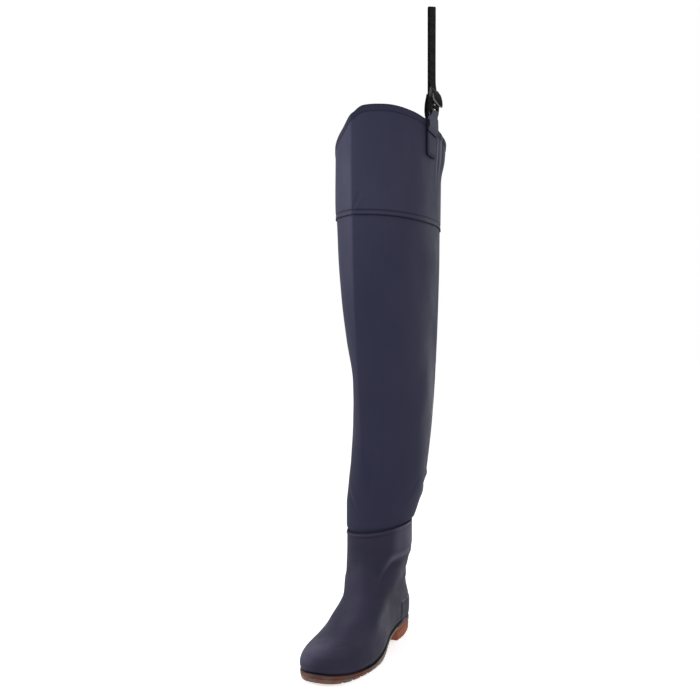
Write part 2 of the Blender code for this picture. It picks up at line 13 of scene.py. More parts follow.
import bmesh
import bpy
import numpy as np
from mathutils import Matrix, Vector

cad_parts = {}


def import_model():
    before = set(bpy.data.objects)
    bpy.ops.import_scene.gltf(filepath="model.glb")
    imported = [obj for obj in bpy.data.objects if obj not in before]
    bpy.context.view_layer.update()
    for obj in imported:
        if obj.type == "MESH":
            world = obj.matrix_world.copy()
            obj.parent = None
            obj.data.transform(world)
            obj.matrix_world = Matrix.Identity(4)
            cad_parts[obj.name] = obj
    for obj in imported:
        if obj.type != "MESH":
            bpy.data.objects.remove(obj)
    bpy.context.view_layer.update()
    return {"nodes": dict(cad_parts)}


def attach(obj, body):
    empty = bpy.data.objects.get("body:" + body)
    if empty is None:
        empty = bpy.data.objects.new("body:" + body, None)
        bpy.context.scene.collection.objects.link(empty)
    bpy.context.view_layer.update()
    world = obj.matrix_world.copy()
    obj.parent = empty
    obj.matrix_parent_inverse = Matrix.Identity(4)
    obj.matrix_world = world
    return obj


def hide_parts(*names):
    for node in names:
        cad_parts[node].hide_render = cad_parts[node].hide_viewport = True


Array = np.ndarray
Placer = Callable[[Array, Array], Array]
Colour = tuple[float, float, float]
Pair = tuple[float, float]
Pairs = tuple[Pair, ...]
# Start and reach of a smooth rise
Ramp = Pair
Shape = bmesh.types.BMesh
Piece = bpy.types.Object
Socket = bpy.types.NodeSocket
Material = bpy.types.Material

LOG = logging.getLogger("hip_wader")
BODY = "root"
MERGE_DISTANCE = 1e-6
SHARP_ANGLE = math.radians(50.0)
UP = Vector((0.0, 0.0, 1.0))
# Small steps for measuring the slope of a wall
TURN_STEP = 0.002
HEIGHT_STEP = 0.0002

# Clearances and walls of the frame's solids
GAP = 0.0003
BOOT_WALL = 0.0026
CLOTH_WALL = 0.0010


class Slot(Enum):
    """Material slots of the record."""

    BOOT = "boot_pvc"
    CLOTH = "leg_cloth"
    SOLE = "sole_gum"
    INSOLE = "insole_felt"
    WEBBING = "webbing"
    BUCKLE = "buckle_plastic"


def smooth_rise(value: Array) -> Array:
    """Rise smoothly from 0 to 1 as the value goes from 0 to 1."""
    value = np.clip(value, 0.0, 1.0)
    return value * value * (3.0 - 2.0 * value)


def ramp(value: Array, start: float, reach: float) -> Array:
    """Rise smoothly from 0 at the start to 1 a reach further on, or further back where it is negative."""
    return smooth_rise((value - start) / reach)


def step(distance: Array, width: float) -> Array:
    """Rise smoothly from 0 to 1 across an edge of the given width."""
    return smooth_rise(distance / width + 0.5)


def soft_bump(distance: Array, width: float) -> Array:
    """A soft round bump: 1 in the middle, near 0 two widths away."""
    return np.exp(-(distance / width) ** 2)


def cubic(s: Array, start: Array, end: Array, start_slope: Array, end_slope: Array) -> Array:
    """Points at shares of a cubic curve between two ends with given slopes."""
    rest = 1.0 - s
    from_start = (1.0 + 2.0 * s) * rest ** 2 * start + s * rest ** 2 * start_slope
    from_end = s * s * (3.0 - 2.0 * s) * end + s * s * (s - 1.0) * end_slope
    return from_start + from_end


def stations(*spans: tuple[float, float, int]) -> Array:
    """Places along a line, from spans that follow each other.

    Args:
        spans: start, end and number of steps of each span.

    Returns:
        The places, with each shared end once.
    """
    places = [np.linspace(start, end, count, endpoint=False) for start, end, count in spans]
    return np.concatenate(places + [[spans[-1][1]]])


def nearest(shares: Array, count: int) -> Array:
    """Numbers of a list's items at shares of the way along it, 0 to 1."""
    return np.rint(shares * (count - 1)).astype(int)


class SectionTable:
    """A short table of sections, read with a smooth curve that never overshoots."""

    def __init__(self, columns: Sequence[str], rows: Sequence[Sequence[float]]) -> None:
        """Keep the columns' names and the rows, with the first column rising."""
        self.columns = tuple(columns)
        self.rows = np.array(rows, dtype=float)

    def read(self, name: str, places: Array) -> Array:
        """Read one column at the given places of the first column.

        Args:
            name: the column's name.
            places: where to read it; beyond the table its end values hold.

        Returns:
            The column's values there.
        """
        keys = self.rows[:, 0]
        values = self.rows[:, self.columns.index(name)]
        steps = np.diff(keys)
        rises = np.diff(values) / steps
        slopes = np.zeros(len(keys))
        for i in range(1, len(keys) - 1):
            if rises[i - 1] * rises[i] > 0.0:
                before = 2.0 * steps[i] + steps[i - 1]
                after = steps[i] + 2.0 * steps[i - 1]
                slopes[i] = (before + after) / (before / rises[i - 1] + after / rises[i])
        slopes[0] = rises[0]
        slopes[-1] = rises[-1]
        places = np.clip(np.asarray(places, dtype=float), keys[0], keys[-1])
        i = np.clip(np.searchsorted(keys, places, side="right") - 1, 0, len(steps) - 1)
        share = (places - keys[i]) / steps[i]
        return cubic(share, values[i], values[i + 1], steps[i] * slopes[i], steps[i] * slopes[i + 1])


def on_normals(place: Placer, turn: Array, height: Array, rise: Array) -> Array:
    """Move the points of a wall along its own normals.

    Args:
        place: gives the wall's points from turns round it and heights up it.
        turn: angles of the points.
        height: heights of the points.
        rise: how far each point moves outwards.

    Returns:
        The moved points.
    """
    around = place(turn + TURN_STEP, height) - place(turn - TURN_STEP, height)
    upward = place(turn, height + HEIGHT_STEP) - place(turn, height - HEIGHT_STEP)
    normal = np.cross(around, upward)
    normal /= np.linalg.norm(normal, axis=1)[:, None]
    return place(turn, height) + normal * rise[:, None]


def points_of(shape: Shape) -> Array:
    """Places of a shape's points."""
    return np.array([vertex.co for vertex in shape.verts], dtype=float)


def move_points(shape: Shape, points: Array) -> None:
    """Move a shape's points to new places."""
    for vertex, point in zip(shape.verts, points):
        vertex.co = point


def paint(shape: Shape, name: str, values: Array) -> None:
    """Keep a value at each of a shape's points, for its material."""
    layers = shape.verts.layers.float
    layer = layers.get(name) or layers.new(name)
    for vertex, value in zip(shape.verts, values):
        vertex[layer] = float(value)


def placed_grid(
    across: int, along: int, place: Placer, line: Optional[Placer] = None, wear_and_highlight: Optional[Placer] = None
) -> Shape:
    """Make a grid and place its points by a function of their shares across and along it.

    Args:
        across: steps across the grid.
        along: steps along the grid.
        place: gives the points from their shares, 0 to 1, across and along.
        line: gives how far each point is darkened, 0 to 1, mostly by painted shade at seams, grooves and
            steps.
        wear_and_highlight: gives how far each point is lightened, 0 to 1, by rubbed wear and by painted
            highlights.

    Returns:
        The placed grid, with a UV map of the shares and points that meet merged.
    """
    shape = bmesh.new()
    shape.loops.layers.uv.new("UVMap")
    bmesh.ops.create_grid(shape, x_segments=across, y_segments=along, size=0.5, calc_uvs=True)
    u, v = points_of(shape).T[:2] + 0.5
    move_points(shape, place(u, v))
    for name, painter in (("line", line), ("wear_and_highlight", wear_and_highlight)):
        paint(shape, name, painter(u, v) if painter else np.zeros(len(u)))
    bmesh.ops.remove_doubles(shape, verts=shape.verts, dist=MERGE_DISTANCE)
    return shape


def wall_grid(
    turns: Array, rows: Array, place: Placer, line: Optional[Placer] = None, wear_and_highlight: Optional[Placer] = None
) -> Shape:
    """Make a wall's grid, placed and painted by functions of turns round it and rows up it.

    Args:
        turns: angles of the grid's columns.
        rows: heights or numbers of the grid's rows.
        place: gives the points.
        line: gives how far each point is darkened, 0 to 1, mostly by painted shade at seams, grooves and
            steps.
        wear_and_highlight: gives how far each point is lightened, 0 to 1, by rubbed wear and by painted
            highlights.

    Returns:
        The placed grid.
    """

    def by_shares(function: Optional[Placer]) -> Optional[Placer]:
        """The same function, of shares across and along the grid."""

        def at(u: Array, v: Array) -> Array:
            """Its values at shares across and along the grid."""
            return function(turns[nearest(u, len(turns))], rows[nearest(v, len(rows))])

        return at if function else None

    return placed_grid(len(turns) - 1, len(rows) - 1, by_shares(place), by_shares(line), by_shares(wear_and_highlight))


def join_shapes(shapes: Sequence[Shape]) -> Shape:
    """Join shapes into one and merge the points where they meet."""
    joined = bmesh.new()
    for shape in shapes:
        mesh = bpy.data.meshes.new("joined")
        shape.to_mesh(mesh)
        shape.free()
        joined.from_mesh(mesh)
        bpy.data.meshes.remove(mesh)
    bmesh.ops.remove_doubles(joined, verts=joined.verts, dist=MERGE_DISTANCE)
    bmesh.ops.recalc_face_normals(joined, faces=joined.faces)
    return joined


def fuse(shapes: Sequence[Shape], grain: float, softness: int) -> Shape:
    """Unite closed shapes into one body by Boolean modifiers, mesh it evenly and soften its edges.

    Args:
        shapes: the shapes, which are used up.
        grain: size of the even mesh.
        softness: smoothing steps, which round the edges.

    Returns:
        The united shape.
    """
    tools = []
    for shape in shapes:
        mesh = bpy.data.meshes.new("fused")
        shape.to_mesh(mesh)
        shape.free()
        tool = bpy.data.objects.new("fused", mesh)
        bpy.context.scene.collection.objects.link(tool)
        tools.append(tool)
    body = tools[0]
    for tool in tools[1:]:
        union = body.modifiers.new("union", "BOOLEAN")
        union.operation = "UNION"
        union.solver = "EXACT"
        union.object = tool
    even = body.modifiers.new("even", "REMESH")
    even.mode = "VOXEL"
    even.voxel_size = grain
    soft = body.modifiers.new("soft", "SMOOTH")
    soft.iterations = softness
    bpy.context.view_layer.update()
    evaluated = body.evaluated_get(bpy.context.evaluated_depsgraph_get())
    united = bmesh.new()
    united.from_mesh(evaluated.to_mesh())
    evaluated.to_mesh_clear()
    for tool in tools:
        bpy.data.meshes.remove(tool.data)
    return united


def make_piece(
    name: str,
    shape: Shape,
    materials: Sequence[Material],
    node: Optional[str] = None,
) -> Piece:
    """Turn a shape into a piece that rides on the part's body.

    Args:
        name: the piece's name.
        shape: its mesh, which is used up.
        materials: its materials, the outside's first.
        node: the frame's node that it stands for, if any.

    Returns:
        The piece.
    """
    mesh = bpy.data.meshes.new(name)
    shape.to_mesh(mesh)
    shape.free()
    mesh.shade_smooth()
    mesh.set_sharp_from_angle(angle=SHARP_ANGLE)
    for material in materials:
        mesh.materials.append(material)
    piece = bpy.data.objects.new(name, mesh)
    bpy.context.scene.collection.objects.link(piece)
    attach(piece, BODY)
    if node:
        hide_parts(node)
    return piece


def add_wall(piece: Piece, thickness: float, inside: bool = True) -> None:
    """Give a sheet its thickness, inwards, or to both sides."""
    wall = piece.modifiers.new("wall", "SOLIDIFY")
    wall.thickness = thickness
    wall.offset = -1.0 if inside else 0.0
    wall.use_even_offset = True
    wall.material_offset = len(piece.data.materials) - 1


def round_edges(piece: Piece, width: float) -> None:
    """Round the sharp edges of a piece."""
    bevel = piece.modifiers.new("rounding", "BEVEL")
    bevel.width = width
    bevel.segments = 2
    bevel.limit_method = "ANGLE"
    bevel.angle_limit = SHARP_ANGLE
    bevel.harden_normals = True


@dataclass(frozen=True)
class Noise:
    """Soft noise on Object coordinates, with the span of it that counts from none to all."""

    scale: tuple[float, float, float]
    detail: float = 3.0
    low: float = 0.3
    high: float = 0.7


@dataclass(frozen=True)
class Relief:
    """How strongly and how deep a noise raises the shading."""

    strength: float
    depth: float


class NodeTree:
    """Short ways to build a material's nodes."""

    def __init__(self, name: str) -> None:
        """Start a material with its shader."""
        self.material = bpy.data.materials.new(name)
        self.material.use_nodes = True
        self.tree = self.material.node_tree
        self.shader = self.tree.nodes["Principled BSDF"]

    def add(self, kind: str, settings: Optional[dict] = None, **inputs: object) -> bpy.types.Node:
        """Add a node.

        Args:
            kind: the node's type, without its ShaderNode prefix.
            settings: the node's own properties.
            inputs: values or sockets for its inputs, with _ for a space in the name.

        Returns:
            The node.
        """
        node = self.tree.nodes.new(f"ShaderNode{kind}")
        for name, value in (settings or {}).items():
            setattr(node, name, value)
        for name, value in inputs.items():
            self.feed(node.inputs[name.replace("_", " ")], value)
        return node

    def feed(self, socket: Socket, value: object) -> None:
        """Set an input's value, or link a socket to it."""
        if isinstance(value, Socket):
            self.tree.links.new(value, socket)
        elif isinstance(value, tuple) and len(value) == 3 and socket.type == "RGBA":
            socket.default_value = (*value, 1.0)
        else:
            socket.default_value = value

    def place(self, scale: Sequence[float], coordinates: str = "Object") -> Socket:
        """Coordinates of the piece, scaled along each axis."""
        source = self.add("TexCoord").outputs[coordinates]
        return self.add("Mapping", Vector=source, Scale=tuple(scale)).outputs["Vector"]

    def noise(self, noise: Noise) -> Socket:
        """A noise as it is."""
        vector = self.place(noise.scale)
        return self.add("TexNoise", Vector=vector, Scale=1.0, Detail=noise.detail).outputs["Fac"]

    def spread(self, noise: Noise, to_low: float = 0.0, to_high: float = 1.0) -> Socket:
        """A noise with the span of it that counts spread between two values."""
        node = self.add("MapRange", Value=self.noise(noise))
        names = ("From Min", "From Max", "To Min", "To Max")
        for name, number in zip(names, (noise.low, noise.high, to_low, to_high)):
            node.inputs[name].default_value = number
        return node.outputs["Result"]

    def attribute(self, name: str) -> Socket:
        """A value kept at the piece's points."""
        return self.add("Attribute", {"attribute_name": name}).outputs["Fac"]

    def product(self, first: Socket, second: Socket) -> Socket:
        """Two values multiplied."""
        node = self.add("Math", {"operation": "MULTIPLY"})
        self.feed(node.inputs[0], first)
        self.feed(node.inputs[1], second)
        return node.outputs["Value"]

    def mix(self, factor: Socket, first: object, second: object) -> Socket:
        """Mix two colours by a factor."""
        node = self.add("Mix", {"data_type": "RGBA"})
        self.feed(node.inputs[0], factor)
        self.feed(node.inputs[6], first)
        self.feed(node.inputs[7], second)
        return node.outputs[2]

    def relief(
        self, height: Socket, relief: Relief, normal: Optional[Socket] = None
    ) -> Socket:
        """Raise the surface's shading by a height, over another relief's normal if there is one."""
        node = self.add("Bump", Height=height, Strength=relief.strength, Distance=relief.depth)
        if normal:
            self.feed(node.inputs["Normal"], normal)
        return node.outputs["Normal"]

    def finish(self, **inputs: object) -> Material:
        """Set the shader's inputs and hand over the material."""
        for name, value in inputs.items():
            self.feed(self.shader.inputs[name.replace("_", " ")], value)
        return self.material


@dataclass(frozen=True)
class SmoothSkin:
    """A smooth coated or moulded skin: mottling, painted highlights, dark lines that are mostly painted
    shade at seams, grooves and steps, and a fine grain.
    """

    name: str
    colour: Colour
    pale: Colour
    wear_and_highlight: Colour
    line: Colour
    roughness: Pair
    specular: float
    gloss_tint: Colour
    mottle: Noise
    wear: Noise
    cloud: Noise
    cloud_relief: Relief
    grain: Noise
    grain_relief: Relief

    def material(self) -> Material:
        """Build the material."""
        tree = NodeTree(self.name)
        colour = tree.mix(tree.spread(self.mottle), self.colour, self.pale)
        # Painted highlights, then painted shade lines, over the mottled colour
        colour = tree.mix(tree.attribute("wear_and_highlight"), colour, self.wear_and_highlight)
        colour = tree.mix(tree.attribute("line"), colour, self.line)
        clouded = tree.relief(tree.noise(self.cloud), self.cloud_relief)
        return tree.finish(
            Base_Color=colour, Roughness=tree.spread(self.wear, *self.roughness),
            Specular_IOR_Level=self.specular, Specular_Tint=self.gloss_tint,
            Normal=tree.relief(tree.noise(self.grain), self.grain_relief, clouded),
        )


COATED_CLOTH = SmoothSkin(
    name="coated_cloth",
    colour=(0.0340, 0.0350, 0.0700),
    pale=(0.0430, 0.0435, 0.0810),
    # Pale colour of the painted highlights, and dark colour of the painted shade lines
    wear_and_highlight=(0.2000, 0.1960, 0.2400),
    line=(0.0080, 0.0085, 0.0190),
    roughness=(0.50, 0.64),
    specular=0.11,
    gloss_tint=(0.92, 0.92, 1.0),
    mottle=Noise((9.0, 9.0, 5.0), 3.0, 0.35, 0.70),
    wear=Noise((26.0, 26.0, 14.0), 5.0),
    cloud=Noise((26.0, 26.0, 14.0), 5.0),
    cloud_relief=Relief(0.25, 0.0015),
    grain=Noise((900.0, 900.0, 900.0), 1.0),
    grain_relief=Relief(0.12, 0.0004),
)
WELD_TAPE = replace(COATED_CLOTH, name="weld_tape")
PANEL_CLOTH = replace(
    COATED_CLOTH, name="panel_cloth", colour=(0.0385, 0.0390, 0.0765), pale=(0.0485, 0.0490, 0.0885)
)
TAB_CLOTH = replace(COATED_CLOTH, name="tab_cloth", colour=(0.045, 0.045, 0.078), pale=(0.057, 0.057, 0.092))
EYE_CLOTH = replace(COATED_CLOTH, name="eye_cloth", colour=(0.076, 0.075, 0.112), pale=(0.098, 0.095, 0.138))
MOULDED_PVC = SmoothSkin(
    name="moulded_pvc",
    colour=(0.0260, 0.0235, 0.0475),
    pale=(0.0350, 0.0315, 0.0595),
    # Pale colour of the painted highlights, and dark colour of the painted shade lines
    wear_and_highlight=(0.1300, 0.1220, 0.1780),
    line=(0.0060, 0.0058, 0.0095),
    roughness=(0.46, 0.60),
    specular=0.22,
    gloss_tint=(0.85, 0.85, 1.0),
    mottle=Noise((22.0, 16.0, 20.0), 4.0, 0.35, 0.68),
    wear=Noise((60.0, 40.0, 50.0), 6.0, 0.35, 0.65),
    cloud=Noise((22.0, 16.0, 20.0), 4.0),
    cloud_relief=Relief(0.20, 0.0015),
    grain=Noise((1400.0, 1400.0, 1400.0), 1.0),
    grain_relief=Relief(0.08, 0.0003),
)


@dataclass(frozen=True)
class DullFibre:
    """A dull fibrous finish: threads of two shades that stand up a little."""

    name: str
    colour: Colour
    pale: Colour
    fibre: Noise
    relief: Relief
    roughness: float
    sheen: float = 0.0
    specular: float = 0.5

    def material(self) -> Material:
        """Build the material."""
        tree = NodeTree(self.name)
        return tree.finish(
            Base_Color=tree.mix(tree.spread(self.fibre), self.colour, self.pale), Roughness=self.roughness,
            Specular_IOR_Level=self.specular, Sheen_Weight=self.sheen,
            Normal=tree.relief(tree.noise(self.fibre), self.relief),
        )


CLOTH_BACKING = DullFibre(
    "cloth_backing", (0.026, 0.027, 0.044), (0.036, 0.037, 0.056), Noise((700.0, 700.0, 700.0), 2.0),
    Relief(0.4, 0.0006), roughness=0.82, sheen=0.15, specular=0.20,
)
KNIT_LINING = DullFibre(
    "knit_lining", (0.070, 0.072, 0.080), (0.130, 0.132, 0.140),
    Noise((500.0, 500.0, 350.0), 2.0, 0.35, 0.65), Relief(0.5, 0.0008), roughness=0.9, sheen=0.2,
)
PRESSED_FELT = DullFibre(
    "felt_insole", (0.045, 0.046, 0.052), (0.110, 0.112, 0.118), Noise((420.0, 420.0, 420.0), 6.0),
    Relief(0.6, 0.001), roughness=0.95, sheen=0.3,
)
SEWING_THREAD = DullFibre(
    "sewing_thread", (0.016, 0.016, 0.030), (0.050, 0.051, 0.070),
    Noise((1500.0, 1500.0, 1500.0), 1.0, 0.0, 1.0), Relief(0.4, 0.0003), roughness=0.65,
)


@dataclass(frozen=True)
class GumSole:
    """Red-brown gum with paler specks, rubbed grey along the waist with a painted highlight there too, and
    painted shade in its grooves.
    """

    colour: Colour = (0.400, 0.118, 0.056)
    deep: Colour = (0.210, 0.075, 0.050)
    speck: Colour = (0.460, 0.230, 0.160)
    wear_and_highlight: Colour = (0.270, 0.255, 0.235)
    line: Colour = (0.012, 0.010, 0.011)
    mottle: Noise = Noise((45.0, 45.0, 60.0), 5.0, 0.35, 0.65)
    cloud: Noise = Noise((45.0, 45.0, 60.0), 5.0)
    fleck: Noise = Noise((240.0, 240.0, 240.0), 3.0, 0.60, 0.72)
    patch: Noise = Noise((70.0, 70.0, 110.0), 2.0, 0.40, 0.62)
    most_speck: float = 0.6
    least_patch: float = 0.35
    cloud_relief: Relief = Relief(0.25, 0.0012)
    fleck_relief: Relief = Relief(0.25, 0.0006)
    roughness: Pair = (0.50, 0.68)
    specular: float = 0.15

    def material(self) -> Material:
        """Build the material."""
        tree = NodeTree("gum_sole")
        colour = tree.mix(tree.spread(self.mottle), self.deep, self.colour)
        colour = tree.mix(tree.spread(self.fleck, 0.0, self.most_speck), colour, self.speck)
        # Rubbed grey wear, which along the waist also stands in for a painted highlight
        worn = tree.product(tree.attribute("wear_and_highlight"), tree.spread(self.patch, self.least_patch, 1.0))
        colour = tree.mix(worn, colour, self.wear_and_highlight)
        # Painted shade in the grooves, at the toe and under the welt
        colour = tree.mix(tree.attribute("line"), colour, self.line)
        clouded = tree.relief(tree.noise(self.cloud), self.cloud_relief)
        return tree.finish(
            Base_Color=colour, Roughness=tree.spread(self.cloud, *self.roughness),
            Specular_IOR_Level=self.specular,
            Normal=tree.relief(tree.noise(self.fleck), self.fleck_relief, clouded),
        )


@dataclass(frozen=True)
class BlackWebbing:
    """Black woven webbing: ribs along it and picks across it, on the strip's own UV map."""

    colour: Colour = (0.0085, 0.0085, 0.0087)
    pale: Colour = (0.0240, 0.0240, 0.0244)
    ribs: float = 9.0
    picks: float = 42.0
    relief: Relief = Relief(0.6, 0.0006)
    roughness: float = 0.78
    specular: float = 0.06

    def material(self) -> Material:
        """Build the material."""
        tree = NodeTree("black_webbing")
        waves = []
        for direction, scale in (("X", (self.ribs, 1.0, 1.0)), ("Y", (1.0, self.picks, 1.0))):
            settings = {"wave_type": "BANDS", "bands_direction": direction}
            wave = tree.add("TexWave", settings, Scale=1.0, Vector=tree.place(scale, "UV"))
            waves.append(wave.outputs["Fac"])
        weave = tree.product(*waves)
        return tree.finish(
            Base_Color=tree.mix(weave, self.colour, self.pale), Roughness=self.roughness,
            Specular_IOR_Level=self.specular, Normal=tree.relief(weave, self.relief),
        )


@dataclass(frozen=True)
class BucklePlastic:
    """Black moulded plastic with a fine spark grain and painted highlights along its edges."""

    colour: Colour = (0.0080, 0.0080, 0.0083)
    pale: Colour = (0.0140, 0.0140, 0.0144)
    wear_and_highlight: Colour = (0.2200, 0.2200, 0.2230)
    grain: Noise = Noise((900.0, 900.0, 900.0), 2.0)
    relief: Relief = Relief(0.10, 0.0003)
    roughness: Pair = (0.16, 0.24)
    specular: float = 0.02

    def material(self) -> Material:
        """Build the material."""
        tree = NodeTree("buckle_plastic")
        grain = tree.noise(self.grain)
        colour = tree.mix(grain, self.colour, self.pale)
        # The lever's rim and the rails' front sides get painted highlights
        return tree.finish(
            Base_Color=tree.mix(tree.attribute("wear_and_highlight"), colour, self.wear_and_highlight),
            Roughness=tree.spread(self.grain, *self.roughness), Specular_IOR_Level=self.specular,
            Normal=tree.relief(grain, self.relief),
        )


@dataclass(frozen=True)
class Fold:
    """A soft trough in a wall with a low ridge beside it, or a ridge alone where the depth is negative.

    The turn is in degrees from the front to the outer side, the slant in degrees from upright towards the
    outer side, and the other sizes are metres on the wall.
    """

    turn: float
    height: float
    slant: float
    length: float
    width: float
    depth: float
    ridge: float = 0.5

    def rise(self, turn: Array, height: Array, radius: float) -> Array:
        """How far the wall moves outwards at turns round it and heights up it."""
        away = (np.degrees(turn) - self.turn + 180.0) % 360.0 - 180.0
        side = np.radians(away) * radius
        up = height - self.height
        lean = math.radians(self.slant)
        along = up * math.cos(lean) + side * math.sin(lean)
        across = side * math.cos(lean) - up * math.sin(lean)
        fade = np.exp(-(along / (self.length / 2.0)) ** 4)
        trough = soft_bump(across, self.width)
        beside = soft_bump(across - 2.0 * self.width, self.width)
        return self.depth * fade * (self.ridge * beside - trough)


def fold_rise(folds: Sequence[Fold], turn: Array, height: Array, radius: float) -> Array:
    """Sum of the folds at turns round a wall and heights up it."""
    return sum(fold.rise(turn, height, radius) for fold in folds)


@dataclass(frozen=True)
class BentRidge:
    """A soft ridge that follows a bent line on a wall, with a low trough under it.

    The line gives a level and a share of the full height for turns in degrees.
    """

    line: SectionTable
    width: float
    height: float = 1.0
    trough: float = 0.0
    half_step: float = 0.5

    def across(self, turn: Array, level: Array, radius: float) -> Array:
        """Distance of points above the line, square to it."""
        degrees = np.degrees(turn)
        before, here, after = (
            self.line.read("level", degrees + change) for change in (-self.half_step, 0.0, self.half_step)
        )
        slope = (after - before) / (math.radians(2.0 * self.half_step) * radius)
        return (level - here) / np.sqrt(1.0 + slope ** 2)

    def rise(self, turn: Array, level: Array, radius: float) -> Array:
        """How far the wall moves outwards at turns round it and levels up it."""
        across = self.across(turn, level, radius)
        under = self.trough * soft_bump(across + 2.0 * self.width, self.width)
        share = self.line.read("share", np.degrees(turn))
        return self.height * share * (soft_bump(across, self.width) - under)


@dataclass(frozen=True)
class SoftSpot:
    """A soft spot on a wall, at a turn in degrees and a level, that may lean as it goes up."""

    turn: float
    turn_width: float
    level: float
    level_width: float
    strength: float
    lean: float = 0.0

    def at(self, degrees: Array, level: Array) -> Array:
        """Strength of the spot at turns round the wall and levels up it."""
        up = level - self.level
        aside = degrees - self.turn - self.lean * up
        return self.strength * soft_bump(aside, self.turn_width) * soft_bump(up, self.level_width)


class LegForm:
    """The cloth leg's outside: a flat tube with a crease down its front and its back."""

    RADIUS = 0.105
    CREASE_POWER = 0.42
    CREASE_REACH = math.radians(42.0)
    BACK_CREASE_POWER = 0.25
    PRESSED: Ramp = (0.26, 0.22)
    SECTIONS = SectionTable(
        ("height", "front", "back", "outer", "inner", "pinch", "turn"),
        (
            (0.195, -0.0800, 0.0590, 0.0525, 0.0550, 1.00, 0.0),
            (0.215, -0.0820, 0.0680, 0.0580, 0.0550, 1.00, -1.0),
            (0.240, -0.0840, 0.0790, 0.0640, 0.0530, 1.10, -2.0),
            (0.280, -0.0860, 0.0960, 0.0675, 0.0505, 1.30, -2.5),
            (0.345, -0.0885, 0.1220, 0.0690, 0.0455, 1.55, -3.5),
            (0.410, -0.0935, 0.1400, 0.0695, 0.0455, 1.60, -4.0),
            (0.480, -0.0995, 0.1505, 0.0695, 0.0560, 1.35, -4.5),
            (0.545, -0.1040, 0.1590, 0.0698, 0.0635, 1.20, -5.0),
            (0.625, -0.1075, 0.1650, 0.0710, 0.0690, 1.10, -5.0),
            (0.700, -0.1095, 0.1700, 0.0710, 0.0695, 1.00, -5.0),
            (0.780, -0.1110, 0.1730, 0.0710, 0.0690, 1.00, -5.0),
            (0.850, -0.1115, 0.1900, 0.0715, 0.0680, 1.00, -5.0),
        ),
    )
    # Above the boot, up the leg, and on the thigh
    FOLDS = (
        Fold(126.0, 0.262, 78.0, 0.050, 0.0055, -0.0026, 0.0),
        Fold(118.0, 0.246, 74.0, 0.070, 0.0060, 0.0020),
        Fold(60.0, 0.236, 66.0, 0.080, 0.0070, 0.0012),
        Fold(-35.0, 0.232, -60.0, 0.070, 0.0060, 0.0014),
        Fold(10.0, 0.262, 12.0, 0.090, 0.0090, 0.0010),
        Fold(150.0, 0.330, 40.0, 0.150, 0.0120, 0.0022),
        Fold(-150.0, 0.300, -35.0, 0.140, 0.0110, 0.0024),
        Fold(-110.0, 0.400, 28.0, 0.170, 0.0140, 0.0026),
        Fold(-70.0, 0.350, -20.0, 0.150, 0.0120, 0.0020),
        Fold(75.0, 0.420, 30.0, 0.220, 0.0180, 0.0013),
        Fold(30.0, 0.500, -14.0, 0.240, 0.0160, 0.0011),
        Fold(112.0, 0.560, 8.0, 0.260, 0.0150, 0.0014),
        Fold(170.0, 0.520, 10.0, 0.230, 0.0140, 0.0022),
        Fold(-120.0, 0.600, -9.0, 0.220, 0.0150, 0.0020),
        Fold(9.0, 0.692, 40.0, 0.034, 0.0034, 0.0014, 0.7),
        Fold(116.0, 0.808, 0.0, 0.084, 0.0210, -0.0078, 0.0),
        Fold(101.0, 0.778, 2.0, 0.070, 0.0026, -0.0016, 0.6),
        Fold(106.5, 0.794, -2.0, 0.060, 0.0026, -0.0016, 0.6),
        Fold(132.0, 0.780, -4.0, 0.130, 0.0070, 0.0016),
        Fold(60.0, 0.770, 12.0, 0.120, 0.0130, 0.0008),
        Fold(-60.0, 0.720, -14.0, 0.120, 0.0110, 0.0014),
        Fold(-140.0, 0.740, 10.0, 0.130, 0.0110, 0.0018),
    )

    def smooth_points(self, turn: Array, height: Array) -> Array:
        """Points on the leg's outside without its folds, at turns round it and heights up it."""
        front, back, outer, inner, pinch, lean = (
            self.SECTIONS.read(name, height) for name in self.SECTIONS.columns[1:]
        )
        away = np.abs((turn + math.pi) % (2.0 * math.pi) - math.pi)
        swell = np.abs(np.sin(turn))
        at_front = 1.0 - smooth_rise(away / self.CREASE_REACH)
        at_back = 1.0 - smooth_rise((math.pi - away) / self.CREASE_REACH)
        crease = self.CREASE_POWER * at_front + self.BACK_CREASE_POWER * at_back
        power = 1.0 + ramp(height, *self.PRESSED) * crease
        across = np.where(
            np.sin(turn) >= 0.0, outer * swell ** power, -inner * swell ** np.maximum(power, pinch)
        )
        along = -(back - front) / 2.0 * np.cos(turn)
        lean = np.radians(lean)
        x = np.cos(lean) * across - np.sin(lean) * along
        y = (front + back) / 2.0 + np.sin(lean) * across + np.cos(lean) * along
        return np.stack([x, y, height], axis=1)

    def points(self, turn: Array, height: Array, rise: Array) -> Array:
        """Points on the folded leg, raised from its outside."""
        folds = fold_rise(self.FOLDS, turn, height, self.RADIUS)
        return on_normals(self.smooth_points, turn, height, rise + folds)


